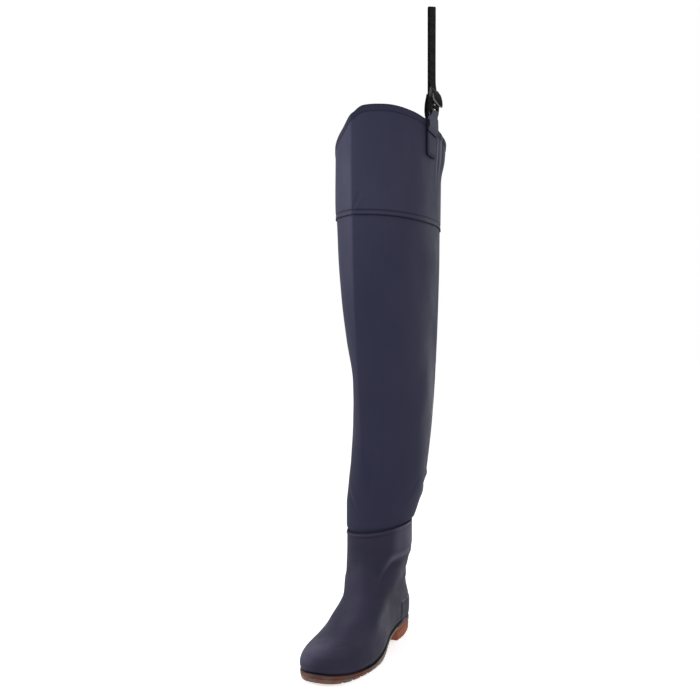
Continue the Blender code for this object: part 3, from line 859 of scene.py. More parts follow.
class BootForm:
    """The moulded boot's outside, from the feather line to the rim."""

    RADIUS = 0.052
    BALL_LINE = -0.168
    WAIST_LINE = -0.075
    WAIST_REACH = 0.065
    INNER_WAIST = 0.007
    OUTER_WAIST = 0.004
    TOE_SWING = 0.012
    SWUNG: Ramp = (-0.090, -0.150)
    HEEL_SQUARENESS = 0.7
    FEATHER_BLEND = 0.130
    RIM_HEIGHT = 0.177
    # The rim stands a little higher at the back and on the outer side
    RIM_LIFT = (0.0030, -0.0039, 0.0070)
    RIM_LIFT_FOOT = 0.100
    SECTIONS = SectionTable(
        ("level", "back", "front", "back_cap", "front_cap",
         "heel_outer", "heel_inner", "ball_outer", "ball_inner"),
        (
            (0.000, 0.0420, -0.2480, 0.0350, 0.0880, 0.0352, 0.0348, 0.0486, 0.0460),
            (0.010, 0.0437, -0.2510, 0.0370, 0.0880, 0.0362, 0.0360, 0.0498, 0.0470),
            (0.022, 0.0448, -0.2478, 0.0395, 0.0880, 0.0367, 0.0370, 0.0490, 0.0456),
            (0.032, 0.0455, -0.2365, 0.0420, 0.0840, 0.0370, 0.0378, 0.0468, 0.0418),
            (0.041, 0.0455, -0.2150, 0.0440, 0.0800, 0.0370, 0.0388, 0.0440, 0.0383),
            (0.048, 0.0445, -0.1930, 0.0460, 0.0760, 0.0368, 0.0396, 0.0415, 0.0372),
            (0.056, 0.0430, -0.1700, 0.0480, 0.0720, 0.0366, 0.0405, 0.0400, 0.0380),
            (0.066, 0.0405, -0.1450, 0.0500, 0.0680, 0.0366, 0.0418, 0.0395, 0.0385),
            (0.079, 0.0380, -0.1220, 0.0520, 0.0640, 0.0372, 0.0437, 0.0395, 0.0400),
            (0.094, 0.0365, -0.1040, 0.0550, 0.0610, 0.0390, 0.0462, 0.0400, 0.0430),
            (0.110, 0.0375, -0.0910, 0.0580, 0.0600, 0.0420, 0.0488, 0.0420, 0.0475),
            (0.125, 0.0410, -0.0840, 0.0605, 0.0605, 0.0455, 0.0508, 0.0455, 0.0508),
            (0.138, 0.0450, -0.0805, 0.0620, 0.0620, 0.0485, 0.0522, 0.0485, 0.0522),
            (0.147, 0.0470, -0.0795, 0.06325, 0.06325, 0.0498, 0.0527, 0.0498, 0.0527),
            (0.177, 0.0470, -0.0795, 0.06325, 0.06325, 0.0498, 0.0527, 0.0498, 0.0527),
        ),
    )
    FEATHER = SectionTable(
        ("place", "height"),
        (
            (-0.260, 0.0220), (-0.235, 0.0145), (-0.200, 0.0095), (-0.165, 0.0085), (-0.120, 0.0140),
            (-0.080, 0.0195), (-0.040, 0.0238), (0.000, 0.0250), (0.050, 0.0260),
        ),
    )

    @staticmethod
    def rounded_end(distance: Array, length: Array, squareness: Array) -> Array:
        """Share of the full width at a distance from a rounded end."""
        power = 2.0 + squareness
        rest = 1.0 - np.clip(distance / length, 0.0, 1.0)
        return np.clip(1.0 - rest ** power, 0.0, 1.0) ** (1.0 / power)

    def sides(self, level: Array, places: Array) -> tuple[Array, Array]:
        """Outer and inner edges (X) of the boot's section at levels, for places along the foot."""
        size = {name: self.SECTIONS.read(name, level) for name in self.SECTIONS.columns[1:]}
        foot = 1.0 - smooth_rise(level / self.FEATHER_BLEND)
        toe_end = self.rounded_end(places - size["front"], size["front_cap"], np.zeros(len(places)))
        heel_end = self.rounded_end(size["back"] - places, size["back_cap"], self.HEEL_SQUARENESS * foot)
        toward_ball = smooth_rise(places / self.BALL_LINE)
        waist = foot * (1.0 - smooth_rise(np.abs(places - self.WAIST_LINE) / self.WAIST_REACH))
        swing = -self.TOE_SWING * foot * ramp(places, *self.SWUNG)
        outer = size["heel_outer"] + (size["ball_outer"] - size["heel_outer"]) * toward_ball
        inner = size["heel_inner"] + (size["ball_inner"] - size["heel_inner"]) * toward_ball
        outer = (outer - self.OUTER_WAIST * waist) * toe_end * heel_end
        inner = (inner - self.INNER_WAIST * waist) * toe_end * heel_end
        return swing + outer, swing - inner

    def rim_lift(self, turn: Array) -> Array:
        """How far the rim stands above its mean height at turns round the shaft."""
        mean, forward, outward = self.RIM_LIFT
        return mean + forward * np.cos(turn) + outward * np.sin(turn)

    def smooth_points(self, turn: Array, level: Array) -> Array:
        """Points on the boot's outside without its creases and overlays."""
        front = self.SECTIONS.read("front", level)
        back = self.SECTIONS.read("back", level)
        y = front + (back - front) * (1.0 - np.cos(turn)) / 2.0
        outer, inner = self.sides(level, y)
        x = np.where(np.sin(turn) >= 0.0, outer, inner)
        z = level + self.FEATHER.read("height", y) * (1.0 - smooth_rise(level / self.FEATHER_BLEND))
        up = ramp(level, self.RIM_LIFT_FOOT, self.RIM_HEIGHT - self.RIM_LIFT_FOOT)
        return np.stack([x, y, z + self.rim_lift(turn) * up], axis=1)


@dataclass
class MouldedBoot:
    """The moulded boot: foot and short shaft in one wall, with toe cap, counter, rim and ankle creases."""

    form: BootForm
    around: int = 260
    welt_top: float = 0.006
    foot_top: float = 0.060
    shaft_foot: float = 0.147
    rim_band: float = 0.008
    toe_cap_line: float = -0.204
    toe_cap_bow: float = 9.0
    toe_cap_middle: float = -0.008
    toe_cap_rise: float = 0.0004
    toe_cap_top: float = 0.060
    counter_line: float = -0.018
    counter_top: float = 0.057
    counter_rise: float = 0.0013
    counter_line_top: float = 0.050
    step_width: float = 0.0016
    ledge_width: float = 0.0040
    welt_height: float = 0.0036
    welt_depth: float = 0.0012
    rim_lip: Pairs = (
        (-0.0060, 0.0), (-0.0046, 0.0009), (-0.0030, 0.0010), (0.0, 0.0),
    )
    # The lip is pressed flat at the outer back
    lip_flat: float = 0.75
    lip_flat_turn: float = 112.0
    lip_flat_width: float = 28.0
    # Painted shade in the welt groove, lighter at the toe, at the feet of the toe cap's and the counter's
    # steps, and under the rim's lip
    welt_shade_foot: float = 0.001
    welt_shade_ramp: Ramp = (-0.21, 0.06)
    toe_welt_shade: float = 0.20
    cap_step_shade: float = 0.20
    counter_step_shade: float = 0.9
    ledge_step_shade: float = 0.8
    rim_line_shade: float = 0.3
    rim_line_shade_below: float = 0.0062
    rim_line_shade_width: float = 0.0010
    # Painted highlights on the ankle's ridge, the shaft's outer side, the heel, the toe and the rim's lip
    ridge_highlight: float = 0.90
    shaft_highlight: float = 0.54
    shaft_highlight_reach: float = 0.010
    shaft_highlight_front: Ramp = (42.0, 22.0)
    shaft_highlight_back: Ramp = (118.0, 24.0)
    under_ridge_highlight: SoftSpot = SoftSpot(91.12, 9.0, 0.104, 0.018, 0.24, -640.0)
    heel_wear_and_highlight: SoftSpot = SoftSpot(132.0, 24.0, 0.070, 0.040, 0.07)
    toe_wear_and_highlight: float = 0.42
    toe_highlight_middle: tuple[float, float, float] = (-0.024, -0.224, 0.034)
    toe_highlight_widths: tuple[float, float, float] = (0.024, 0.026, 0.020)
    rim_highlight: float = 0.08
    rim_highlight_below: float = 0.0015
    rim_highlight_width: float = 0.0016
    folds: tuple[Fold, ...] = (
        Fold(122.0, 0.108, 56.0, 0.050, 0.0070, 0.0018),
        Fold(-23.0, 0.131, 84.0, 0.018, 0.0018, 0.0006),
        Fold(-25.0, 0.126, 84.0, 0.014, 0.0018, 0.0005),
        Fold(21.0, 0.038, 88.0, 0.010, 0.0011, 0.0005),
        Fold(36.0, 0.0415, 92.0, 0.006, 0.0011, 0.0004),
        Fold(-18.0, 0.0425, 86.0, 0.011, 0.0011, 0.0005),
        Fold(-95.0, 0.098, -58.0, 0.090, 0.0060, 0.0024, 0.8),
        Fold(180.0, 0.090, 88.0, 0.060, 0.0050, 0.0012),
        Fold(40.0, 0.140, 20.0, 0.060, 0.0140, 0.0008),
    )

    ANKLE_LINE = SectionTable(
        ("turn", "level", "share"),
        (
            (24.0, 0.085, 0.00), (28.0, 0.098, 0.10), (38.0, 0.124, 0.55), (50.0, 0.135, 0.95),
            (75.0, 0.138, 1.00), (100.0, 0.135, 0.60), (120.0, 0.131, 0.00),
        ),
    )
    ankle_ridge: BentRidge = BentRidge(ANKLE_LINE, 0.0048, 0.0024, 0.5)
    # The ankle's crest carries a painted highlight
    ankle_highlight: BentRidge = BentRidge(ANKLE_LINE, 0.0056)

    def levels(self) -> Array:
        """Levels of the wall's rows, close at the welt and the rim."""
        rim = self.form.RIM_HEIGHT
        band = rim - self.rim_band
        return stations(
            (0.0, self.welt_top, 8), (self.welt_top, self.foot_top, 58),
            (self.foot_top, self.shaft_foot, 64), (self.shaft_foot, band, 14), (band, rim, 16),
        )

    def cap_line(self, x: Array) -> Array:
        """Places of the toe cap's bowed rear edge across the foot."""
        return self.toe_cap_line + self.toe_cap_bow * (x - self.toe_cap_middle) ** 2

    def overlay_rise(self, points: Array) -> Array:
        """How far the toe cap and the heel counter stand out at points of the wall."""
        x, y, z = points.T
        cap = self.toe_cap_rise * step(self.cap_line(x) - y, self.step_width)
        behind = step(y - self.counter_line, self.step_width)
        below = step(self.counter_top - z, self.ledge_width)
        return cap + self.counter_rise * behind * below

    def wall_points(self, turn: Array, level: Array) -> Array:
        """Points of the wall with overlays, welt, rim lip and creases."""
        radius = self.form.RADIUS
        rise = self.overlay_rise(self.form.smooth_points(turn, level))
        rise = rise - self.welt_depth * (1.0 - smooth_rise(level / self.welt_height))
        flat = self.lip_flat * soft_bump(np.degrees(turn) - self.lip_flat_turn, self.lip_flat_width)
        rise = rise + (1.0 - flat) * np.interp(level - self.form.RIM_HEIGHT, *zip(*self.rim_lip))
        rise = rise + fold_rise(self.folds, turn, level, radius)
        rise = rise + self.ankle_ridge.rise(turn, level, radius)
        return on_normals(self.form.smooth_points, turn, level, rise)

    def line_darkness(self, turn: Array, level: Array) -> Array:
        """Where painted shade darkens the welt groove, the feet of the overlays' steps and the wall under
        the rim's lip.
        """
        x, y, z = self.form.smooth_points(turn, level).T
        half = self.step_width / 2.0
        welt = 1.0 - ramp(level, self.welt_shade_foot, self.welt_height)
        welt = welt * (self.toe_welt_shade + (1.0 - self.toe_welt_shade) * ramp(y, *self.welt_shade_ramp))
        cap = self.cap_step_shade * soft_bump(y - self.cap_line(x) - half, half) * (level < self.toe_cap_top)
        edge = self.counter_step_shade * soft_bump(y - self.counter_line + half, half)
        edge = edge * (z < self.counter_top) * (level < self.counter_line_top)
        ledge = self.ledge_step_shade * soft_bump(z - self.counter_top - half, half) * (y > self.counter_line)
        below_rim = self.form.RIM_HEIGHT - level
        rim = self.rim_line_shade * soft_bump(below_rim - self.rim_line_shade_below, self.rim_line_shade_width)
        return np.clip(welt + cap + edge + ledge + rim, 0.0, 1.0)

    def highlights(self, turn: Array, level: Array) -> Array:
        """Where painted highlights lighten the ankle's ridge, the shaft's outer side, the heel, the toe and
        the rim's lip.
        """
        degrees = np.degrees(turn)
        radius = self.form.RADIUS
        ridge = self.ridge_highlight * self.ankle_highlight.rise(turn, level, radius) ** 2
        above = smooth_rise(self.ankle_highlight.across(turn, level, radius) / self.shaft_highlight_reach)
        outer_side = ramp(degrees, *self.shaft_highlight_front) * (1.0 - ramp(degrees, *self.shaft_highlight_back))
        shaft = self.shaft_highlight * above * outer_side
        spots = self.under_ridge_highlight.at(degrees, level) + self.heel_wear_and_highlight.at(degrees, level)
        x, y, _ = self.form.smooth_points(turn, level).T
        toe = self.toe_wear_and_highlight
        for place, middle, width in zip((x, y, level), self.toe_highlight_middle, self.toe_highlight_widths):
            toe = toe * soft_bump(place - middle, width)
        below_rim = self.form.RIM_HEIGHT - level
        rim = self.rim_highlight * soft_bump(below_rim - self.rim_highlight_below, self.rim_highlight_width)
        return np.clip(ridge + shaft + spots + toe + rim, 0.0, 1.0)

    def build(self) -> Piece:
        """Build and dress the boot's wall."""
        turns = np.linspace(0.0, 2.0 * math.pi, self.around + 1)
        shape = wall_grid(turns, self.levels(), self.wall_points, self.line_darkness, self.highlights)
        finishes = [MOULDED_PVC.material(), KNIT_LINING.material()]
        boot = make_piece("boot_upper_wall", shape, finishes, "boot_upper")
        add_wall(boot, BOOT_WALL)
        return boot


@dataclass
class FootPlate:
    """A plate with the foot's outline, such as the sole or the insole, closed all round."""

    form: BootForm
    name: str
    node: str
    across: int = 16
    along: int = 60

    def tips(self) -> Pair:
        """Foremost and rearmost places of the outline."""
        first = dict(zip(self.form.SECTIONS.columns, self.form.SECTIONS.rows[0]))
        return first["front"], first["back"]

    def places(self) -> Array:
        """Places along the foot, from tip to tip, close together at the tips."""
        front, back = self.tips()
        share = (1.0 - np.cos(math.pi * np.linspace(0.0, 1.0, self.along))) / 2.0
        return front + (back - front) * share

    def outline(self, reach: Array) -> tuple[Array, Array]:
        """Outer and inner chains of the outline, moved outwards square to it.

        Args:
            reach: distance outwards at each place.

        Returns:
            The outer and the inner chain, both from toe to heel.
        """
        places = self.places()
        outer, inner = self.form.sides(np.zeros(len(places)), places)
        chain = np.concatenate([np.stack([outer, places], 1), np.stack([inner, places], 1)[-2:0:-1]])
        along = np.roll(chain, -1, axis=0) - np.roll(chain, 1, axis=0)
        normal = np.stack([along[:, 1], -along[:, 0]], axis=1)
        normal /= np.linalg.norm(normal, axis=1)[:, None]
        around = np.concatenate([reach, reach[-2:0:-1]])
        chain = chain + normal * around[:, None]
        count = len(places)
        return chain[:count], np.concatenate([chain[:1], chain[:count - 2:-1]])

    def ring(self, row: float) -> tuple[Array, Array]:
        """Outer and inner chains of points at a share of the way up the edge."""
        raise NotImplementedError

    def rows(self) -> Array:
        """Shares of the way up the edge."""
        raise NotImplementedError

    def face(self, row: float) -> Shape:
        """The plate's underside or top: strips across the foot between its two chains."""
        outer, inner = self.ring(row)

        def place(u: Array, v: Array) -> Array:
            """Points between the two chains."""
            i = nearest(v, len(outer))
            return outer[i] + (inner[i] - outer[i]) * u[:, None]

        return placed_grid(self.across, len(outer) - 1, place)

    def edge(self) -> Shape:
        """The plate's edge, all round the foot."""
        rings = []
        for row in self.rows():
            outer, inner = self.ring(row)
            rings.append(np.concatenate([outer, inner[-2::-1]]))
        rings = np.array(rings)
        rows, around = rings.shape[:2]

        def place(u: Array, v: Array) -> Array:
            """Points of the rings."""
            return rings[nearest(v, rows), nearest(u, around)]

        return placed_grid(around - 1, rows - 1, place)

    def shape(self) -> Shape:
        """The whole plate."""
        rows = self.rows()
        return join_shapes([self.face(rows[0]), self.face(rows[-1]), self.edge()])


@dataclass
class Outsole(FootPlate):
    """The gum sole: heel block, arch, flat forepart, toe spring, cross grooves and a line round its edge."""

    along: int = 110
    heel_breast: float = -0.036
    breast_slope: float = 0.004
    heel_taper: float = 0.0006
    heel_taper_reach: float = 0.030
    heel_swell: float = 0.0036
    heel_middle: float = -0.010
    heel_swell_reach: float = 0.024
    groove_depth: float = 0.0035
    groove_width: float = 0.0045
    groove_draft: float = 0.0008
    wall_steps: int = 4
    heel_grooves: tuple[float, ...] = (-0.018, 0.018)
    fore_first: float = -0.224
    fore_pitch: float = 0.0155
    fore_count: int = 7
    notch_top: float = 0.0012
    thinnest_edge: float = 0.001
    # Rubbed grey along the waist, where it also stands in for a painted highlight, at the toe and on the
    # heel's upper band
    toe_ramp: Ramp = (-0.165, -0.05)
    waist_front: Ramp = (-0.200, 0.040)
    waist_back: Ramp = (-0.036, -0.006)
    waist_band: Ramp = (0.05, 0.2)
    heel_ramp: Ramp = (-0.030, 0.030)
    heel_band: Ramp = (0.66, 0.06)
    waist_wear_and_highlight: float = 1.5
    heel_wear_and_highlight: float = 0.42
    toe_wear_and_highlight: float = 0.6
    # Painted shade in the groove round the edge, at the toe, most towards its top, and under the welt
    seam_middle: float = 0.58
    seam_width: float = 0.05
    seam_shade: float = 0.25
    heel_seam_shade: float = 0.2
    toe_seam_shade: float = -0.15
    heel_seam_ramp: Ramp = (-0.040, 0.010)
    toe_shade: float = 0.25
    toe_top_shade: float = 0.30
    toe_top_ramp: Ramp = (0.35, 0.5)
    welt_ramp: Ramp = (0.80, 0.10)
    toe_welt_unshaded: float = 0.8

    TREAD = SectionTable(
        ("place", "height"),
        (
            (-0.260, 0.0092), (-0.240, 0.0030), (-0.218, 0.0002), (-0.205, 0.0000), (-0.135, 0.0000),
            (-0.115, 0.0025), (-0.080, 0.0105), (-0.036, 0.0180),
        ),
    )
    # Share of the way up the edge, and reach out from the feather line
    EDGE = (
        (0.00, -0.0014), (0.03, -0.0006), (0.10, 0.0002), (0.30, 0.0009), (0.48, 0.0014), (0.52, 0.0007),
        (0.56, 0.0001), (0.60, 0.0001), (0.64, 0.0007), (0.68, 0.0016), (0.84, 0.0018), (0.95, 0.0016),
        (1.00, 0.0008),
    )

    def grooves(self) -> list[float]:
        """Middles of the tread's cross grooves."""
        fore = [self.fore_first + self.fore_pitch * i for i in range(self.fore_count)]
        return fore + list(self.heel_grooves)

    def places(self) -> Array:
        """Places along the foot, with close ones at each groove wall and at the heel breast."""
        edges = list(self.heel_breast - self.breast_slope * np.linspace(0.0, 1.0, self.wall_steps))
        for middle in self.grooves():
            for wall in (middle - self.groove_width / 2.0, middle + self.groove_width / 2.0):
                edges += list(wall + self.groove_draft * np.linspace(-0.5, 0.5, self.wall_steps))
        free = super().places()
        clear = [y for y in free if min(abs(y - edge) for edge in edges) > self.groove_draft]
        return np.array(sorted(clear + edges))

    def tread(self, places: Array) -> tuple[Array, Array]:
        """Heights of the underside along the foot, without and with its grooves."""
        heel = ramp(places, self.heel_breast - self.breast_slope, self.breast_slope)
        plain = self.TREAD.read("height", places) * (1.0 - heel)
        cut = np.zeros(len(places))
        for middle in self.grooves():
            inside = self.groove_width / 2.0 - np.abs(places - middle)
            cut = np.maximum(cut, step(inside, self.groove_draft))
        return plain, plain + self.groove_depth * cut

    def rows(self) -> Array:
        """Shares of the way up the edge."""
        return np.array([share for share, _ in self.EDGE])

    def ring(self, row: float) -> tuple[Array, Array]:
        """Outer and inner chains of points at a share of the way up the edge."""
        places = self.places()
        taper = self.heel_taper * ramp(places, self.heel_breast, self.heel_taper_reach)
        swell = self.heel_swell * soft_bump(places - self.heel_middle, self.heel_swell_reach)
        reach = float(np.interp(row, *zip(*self.EDGE))) + (swell - taper) * (1.0 - row)
        plain, cut = self.tread(places)
        top = self.form.FEATHER.read("height", places) - GAP
        height = np.maximum(plain + (top - plain) * row, cut + self.notch_top * row)
        return tuple(np.column_stack([chain, height]) for chain in self.outline(reach))

    def paint_edge(self, shape: Shape) -> None:
        """Keep where the edge is rubbed grey, with a painted highlight along the waist, and where painted
        shade darkens its groove, its toe and its top under the welt.
        """
        _, y, z = points_of(shape).T
        plain, _ = self.tread(y)
        top = self.form.FEATHER.read("height", y)
        share = (z - plain) / np.maximum(top - plain, self.thinnest_edge)
        toe = ramp(y, *self.toe_ramp)
        waist = ramp(y, *self.waist_front) * ramp(y, *self.waist_back) * ramp(share, *self.waist_band)
        heel = ramp(y, *self.heel_ramp) * ramp(share, *self.heel_band)
        paint(shape, "wear_and_highlight", self.waist_wear_and_highlight * waist + self.heel_wear_and_highlight * heel + self.toe_wear_and_highlight * toe)
        on_heel = ramp(y, *self.heel_seam_ramp)
        groove_shade = self.seam_shade + self.heel_seam_shade * on_heel + self.toe_seam_shade * toe
        seam = groove_shade * soft_bump(share - self.seam_middle, self.seam_width)
        shade = toe * (self.toe_shade + self.toe_top_shade * ramp(share, *self.toe_top_ramp))
        welt = (1.0 - self.toe_welt_unshaded * toe) * ramp(share, *self.welt_ramp)
        paint(shape, "line", np.minimum(1.0, seam + shade + welt))

    def build(self) -> Piece:
        """Build and dress the sole."""
        shape = self.shape()
        self.paint_edge(shape)
        return make_piece(self.name, shape, [GumSole().material()], self.node)


@dataclass
class Insole(FootPlate):
    """The felt insole, a little dished, on top of the sole."""

    thickness: float = 0.0030
    clearance: float = 0.0008
    round_edge: float = 0.0006
    round_share: float = 0.2

    def rows(self) -> Array:
        """Shares of the way up the edge."""
        return np.array([0.0, self.round_share, 1.0 - self.round_share, 1.0])

    def ring(self, row: float) -> tuple[Array, Array]:
        """Outer and inner chains of points at a share of the way up the edge."""
        places = self.places()
        inset = BOOT_WALL + self.clearance + self.round_edge * (row in (0.0, 1.0))
        height = self.form.FEATHER.read("height", places) + self.thickness * row
        chains = self.outline(np.full(len(places), -inset))
        return tuple(np.column_stack([chain, height]) for chain in chains)

    def build(self) -> Piece:
        """Build and dress the insole."""
        return make_piece(self.name, self.shape(), [PRESSED_FELT.material()], self.node)


@dataclass
class LegTube:
    """The cloth leg: tucked into the boot's collar below, lapped by the thigh panel above."""

    form: LegForm
    boot: BootForm
    around: int = 240
    tuck: float = 0.025
    neck: float = 0.006
    ankle_top: float = 0.300
    lap_top: float = 0.682
    blend: float = 0.0075
    lift_fade: float = 0.050
    rim_shade: float = 0.15
    rim_shade_reach: float = 0.010
    tape_turn: float = -152.0
    tape_width: float = 0.013
    tape_rise: float = 0.0005
    tape_above_rim: float = 0.022
    tape_below_lap: float = 0.014
    tape_crown: float = 6.0
    # Middle, width and strength of the tape's pressed beads and dark edges, across its half
    tape_bead: tuple[float, float, float] = (0.27, 0.07, 0.5)
    tape_dark_edges: tuple[float, float, float] = (0.40, 0.05, 0.7)
    tape_across: int = 20
    tape_along: int = 150
    cut_size: Pair = (0.671, 0.550)
    cut_area: float = 0.290

    def rows(self) -> Array:
        """Heights of the tube's rows."""
        rim = self.boot.RIM_HEIGHT
        neck = rim + self.neck
        return stations(
            (rim - self.tuck, rim, 6), (rim, neck, 9), (neck, self.ankle_top, 42),
            (self.ankle_top, self.lap_top, 108),
        )

    def collar_points(self, turn: Array, height: Array) -> Array:
        """Points of the part that is tucked into the boot's collar."""
        rim = np.full(len(turn), self.boot.RIM_HEIGHT - HEIGHT_STEP)
        inset = np.full(len(turn), -BOOT_WALL - GAP)
        ring = on_normals(self.boot.smooth_points, turn, rim, inset)
        ring[:, 2] = height
        return ring

    def wall_points(self, turn: Array, row: Array) -> Array:
        """Points of the tube at turns and row heights, from the collar to the leg's own sections."""
        rim = self.boot.RIM_HEIGHT
        height = row + self.boot.rim_lift(turn) * (1.0 - ramp(row, rim, self.lift_fade))
        share = ramp(row, rim, self.blend)[:, None]
        safe = np.maximum(height, self.form.SECTIONS.rows[0, 0])
        leg = self.form.points(turn, safe, np.zeros(len(turn)))
        leg[:, 2] += height - safe
        return self.collar_points(turn, height) * (1.0 - share) + leg * share

    def line_darkness(self, turn: Array, row: Array) -> Array:
        """Where the tube is shaded, at the boot's rim."""
        return self.rim_shade * soft_bump(row - self.boot.RIM_HEIGHT, self.rim_shade_reach)

    def build(self) -> Piece:
        """Build and dress the tube."""
        turns = np.linspace(0.0, 2.0 * math.pi, self.around + 1)
        shape = wall_grid(turns, self.rows(), self.wall_points, self.line_darkness)
        finishes = [COATED_CLOTH.material(), CLOTH_BACKING.material()]
        tube = make_piece("leg_tube_wall", shape, finishes, "leg_tube")
        add_wall(tube, CLOTH_WALL)
        return tube

    def build_tape(self) -> Piece:
        """Build the welded tape over the seam down the leg's inner back."""
        middle = math.radians(self.tape_turn)
        low = self.boot.RIM_HEIGHT + self.tape_above_rim
        high = self.lap_top - self.tape_below_lap

        def bands(u: Array, band: tuple[float, float, float]) -> Array:
            """Two soft bands along the tape, one on each half."""
            aside, width, strength = band
            return strength * soft_bump(np.abs(u - 0.5) - aside, width)

        def place(u: Array, v: Array) -> Array:
            """Points of the tape on the leg."""
            side = (u - 0.5) * self.tape_width / self.form.RADIUS
            crown = 1.0 - np.abs(2.0 * u - 1.0) ** self.tape_crown
            rise = self.tape_rise * (crown + bands(u, self.tape_bead)) - GAP * (1.0 - crown)
            return self.form.points(middle + side, low + (high - low) * v, rise)

        def line(u: Array, v: Array) -> Array:
            """Where the tape's edges are dark."""
            return bands(u, self.tape_dark_edges)

        shape = placed_grid(self.tape_across, self.tape_along, place, line)
        tape = make_piece("leg_weld_tape", shape, [WELD_TAPE.material()])
        add_wall(tape, self.tape_rise)
        return tape


@dataclass
class ThighPanel:
    """The cloth panel round the thigh: a lapped, welded seam below and a thicker hem above."""

    form: LegForm
    seam_height: float = 0.670
    band: float = 0.016
    weld_line: float = 0.0078
    weld_width: float = 0.0013
    weld_depth: float = 0.0007
    edge_lift: float = 0.0005
    edge_lift_reach: float = 0.004
    hem_width: float = 0.010
    hem_rise: float = 0.0007
    hem_edge: float = 0.0012
    # Columns close together where the creases behind the strap lie
    creased: Pair = (93.0, 117.0)
    # Strength and width of the painted shade lines: under the seam's lifted edge, in the weld groove, under
    # the hem's step and at the top edge
    seam_shade: Pair = (0.95, 0.0018)
    weld_shade: Pair = (0.65, 0.0014)
    hem_shade: Pair = (0.55, 0.0012)
    top_edge_shade: Pair = (0.5, 0.0016)
    hem_shade_below: float = 0.0006
    # The hem's band is a little darker all round, and painted shade darkens it more at the front and behind
    # the strap
    band_shade: float = 0.15
    band_edge: float = 0.002
    band_spots: tuple[tuple[float, float, float], ...] = ((-20.0, 45.0, 0.4), (112.0, 14.0, 0.4))
    # Painted shade in the crease between the highlighted creases
    dark_crease: Fold = Fold(103.8, 0.776, 0.0, 0.052, 0.0012, 0.35, 0.0)
    # Painted highlights on the creases behind the strap
    highlighted_creases: tuple[Fold, ...] = (
        Fold(101.0, 0.778, 2.0, 0.070, 0.0022, -0.68, 0.0),
        Fold(106.5, 0.794, -2.0, 0.060, 0.0021, -0.78, 0.0),
        Fold(106.0, 0.788, 0.0, 0.090, 0.0140, -0.16, 0.0),
    )
    cut_size: Pair = (0.724, 0.173)
    cut_area: float = 0.0923

    TOP = SectionTable(
        ("angle", "height"),
        (
            (-180.0, 0.794), (-130.0, 0.774), (-90.0, 0.772), (-47.0, 0.782), (-22.0, 0.8035),
            (-6.0, 0.8212), (6.0, 0.8262), (18.0, 0.8368), (30.0, 0.8398), (48.0, 0.8420), (66.0, 0.8408),
            (80.0, 0.8375), (92.0, 0.8340), (101.0, 0.8310), (115.0, 0.8185), (135.0, 0.805), (180.0, 0.794),
        ),
    )

    def top(self, turn: Array) -> Array:
        """Heights of the top edge at turns round the leg."""
        degrees = (np.degrees(turn) + 180.0) % 360.0 - 180.0
        return self.TOP.read("height", degrees)

    def heights(self, turn: Array, row: Array) -> Array:
        """Heights of rows: 0 to 1 in the seam's band, 1 to 2 between, 2 to 3 in the hem's band."""
        low = self.seam_height + self.band * np.clip(row, 0.0, 1.0)
        high = self.top(turn) - self.band * np.clip(3.0 - row, 0.0, 1.0)
        return low + (high - low) * np.clip(row - 1.0, 0.0, 1.0)

    def wall_points(self, turn: Array, row: Array) -> Array:
        """Points of the panel with its weld line, lifted lower edge and hem."""
        height = self.heights(turn, row)
        from_seam = height - self.seam_height
        from_top = self.top(turn) - height
        rise = np.full(len(turn), GAP + CLOTH_WALL)
        rise = rise + self.edge_lift * (1.0 - smooth_rise(from_seam / self.edge_lift_reach))
        rise = rise - self.weld_depth * soft_bump(from_seam - self.weld_line, self.weld_width)
        rise = rise + self.hem_rise * smooth_rise((self.hem_width - from_top) / self.hem_edge)
        rise = rise - self.hem_rise / 2.0 * (1.0 - smooth_rise(from_top / self.hem_edge))
        return self.form.points(turn, height, rise)

    def line_darkness(self, turn: Array, row: Array) -> Array:
        """Where painted shade darkens the seam's lifted edge, the weld groove, the hem's step and top edge,
        the front and strap side of the hem's band and the crease behind the strap.
        """
        height = self.heights(turn, row)
        from_seam = height - self.seam_height
        from_top = self.top(turn) - height
        lines = (
            (from_seam, self.seam_shade),
            (from_seam - self.weld_line, self.weld_shade),
            (from_top - self.hem_width - self.hem_shade_below, self.hem_shade),
            (from_top, self.top_edge_shade),
        )
        dark = sum(strength * soft_bump(distance, width) for distance, (strength, width) in lines)
        shade = self.band_shade
        for middle, width, strength in self.band_spots:
            away = (np.degrees(turn) - middle + 180.0) % 360.0 - 180.0
            shade = shade + strength * soft_bump(away, width)
        band = shade * smooth_rise((self.hem_width - from_top) / self.band_edge)
        crease = -self.dark_crease.rise(turn, height, self.form.RADIUS)
        return np.clip(dark + band + crease, 0.0, 1.0)

    def highlights(self, turn: Array, row: Array) -> Array:
        """Where painted highlights lighten the creases behind the strap."""
        height = self.heights(turn, row)
        return np.clip(fold_rise(self.highlighted_creases, turn, height, self.form.RADIUS), 0.0, 1.0)

    def build(self) -> Piece:
        """Build and dress the panel."""
        rows = stations((0.0, 1.0, 20), (1.0, 2.0, 56), (2.0, 3.0, 20))
        start, end = self.creased
        turns = np.radians(stations((-180.0, start, 182), (start, end, 48), (end, 180.0, 42)))
        shape = wall_grid(turns, rows, self.wall_points, self.line_darkness, self.highlights)
        finishes = [PANEL_CLOTH.material(), CLOTH_BACKING.material()]
        panel = make_piece("thigh_panel_wall", shape, finishes, "thigh_panel")
        add_wall(panel, CLOTH_WALL)
        return panel


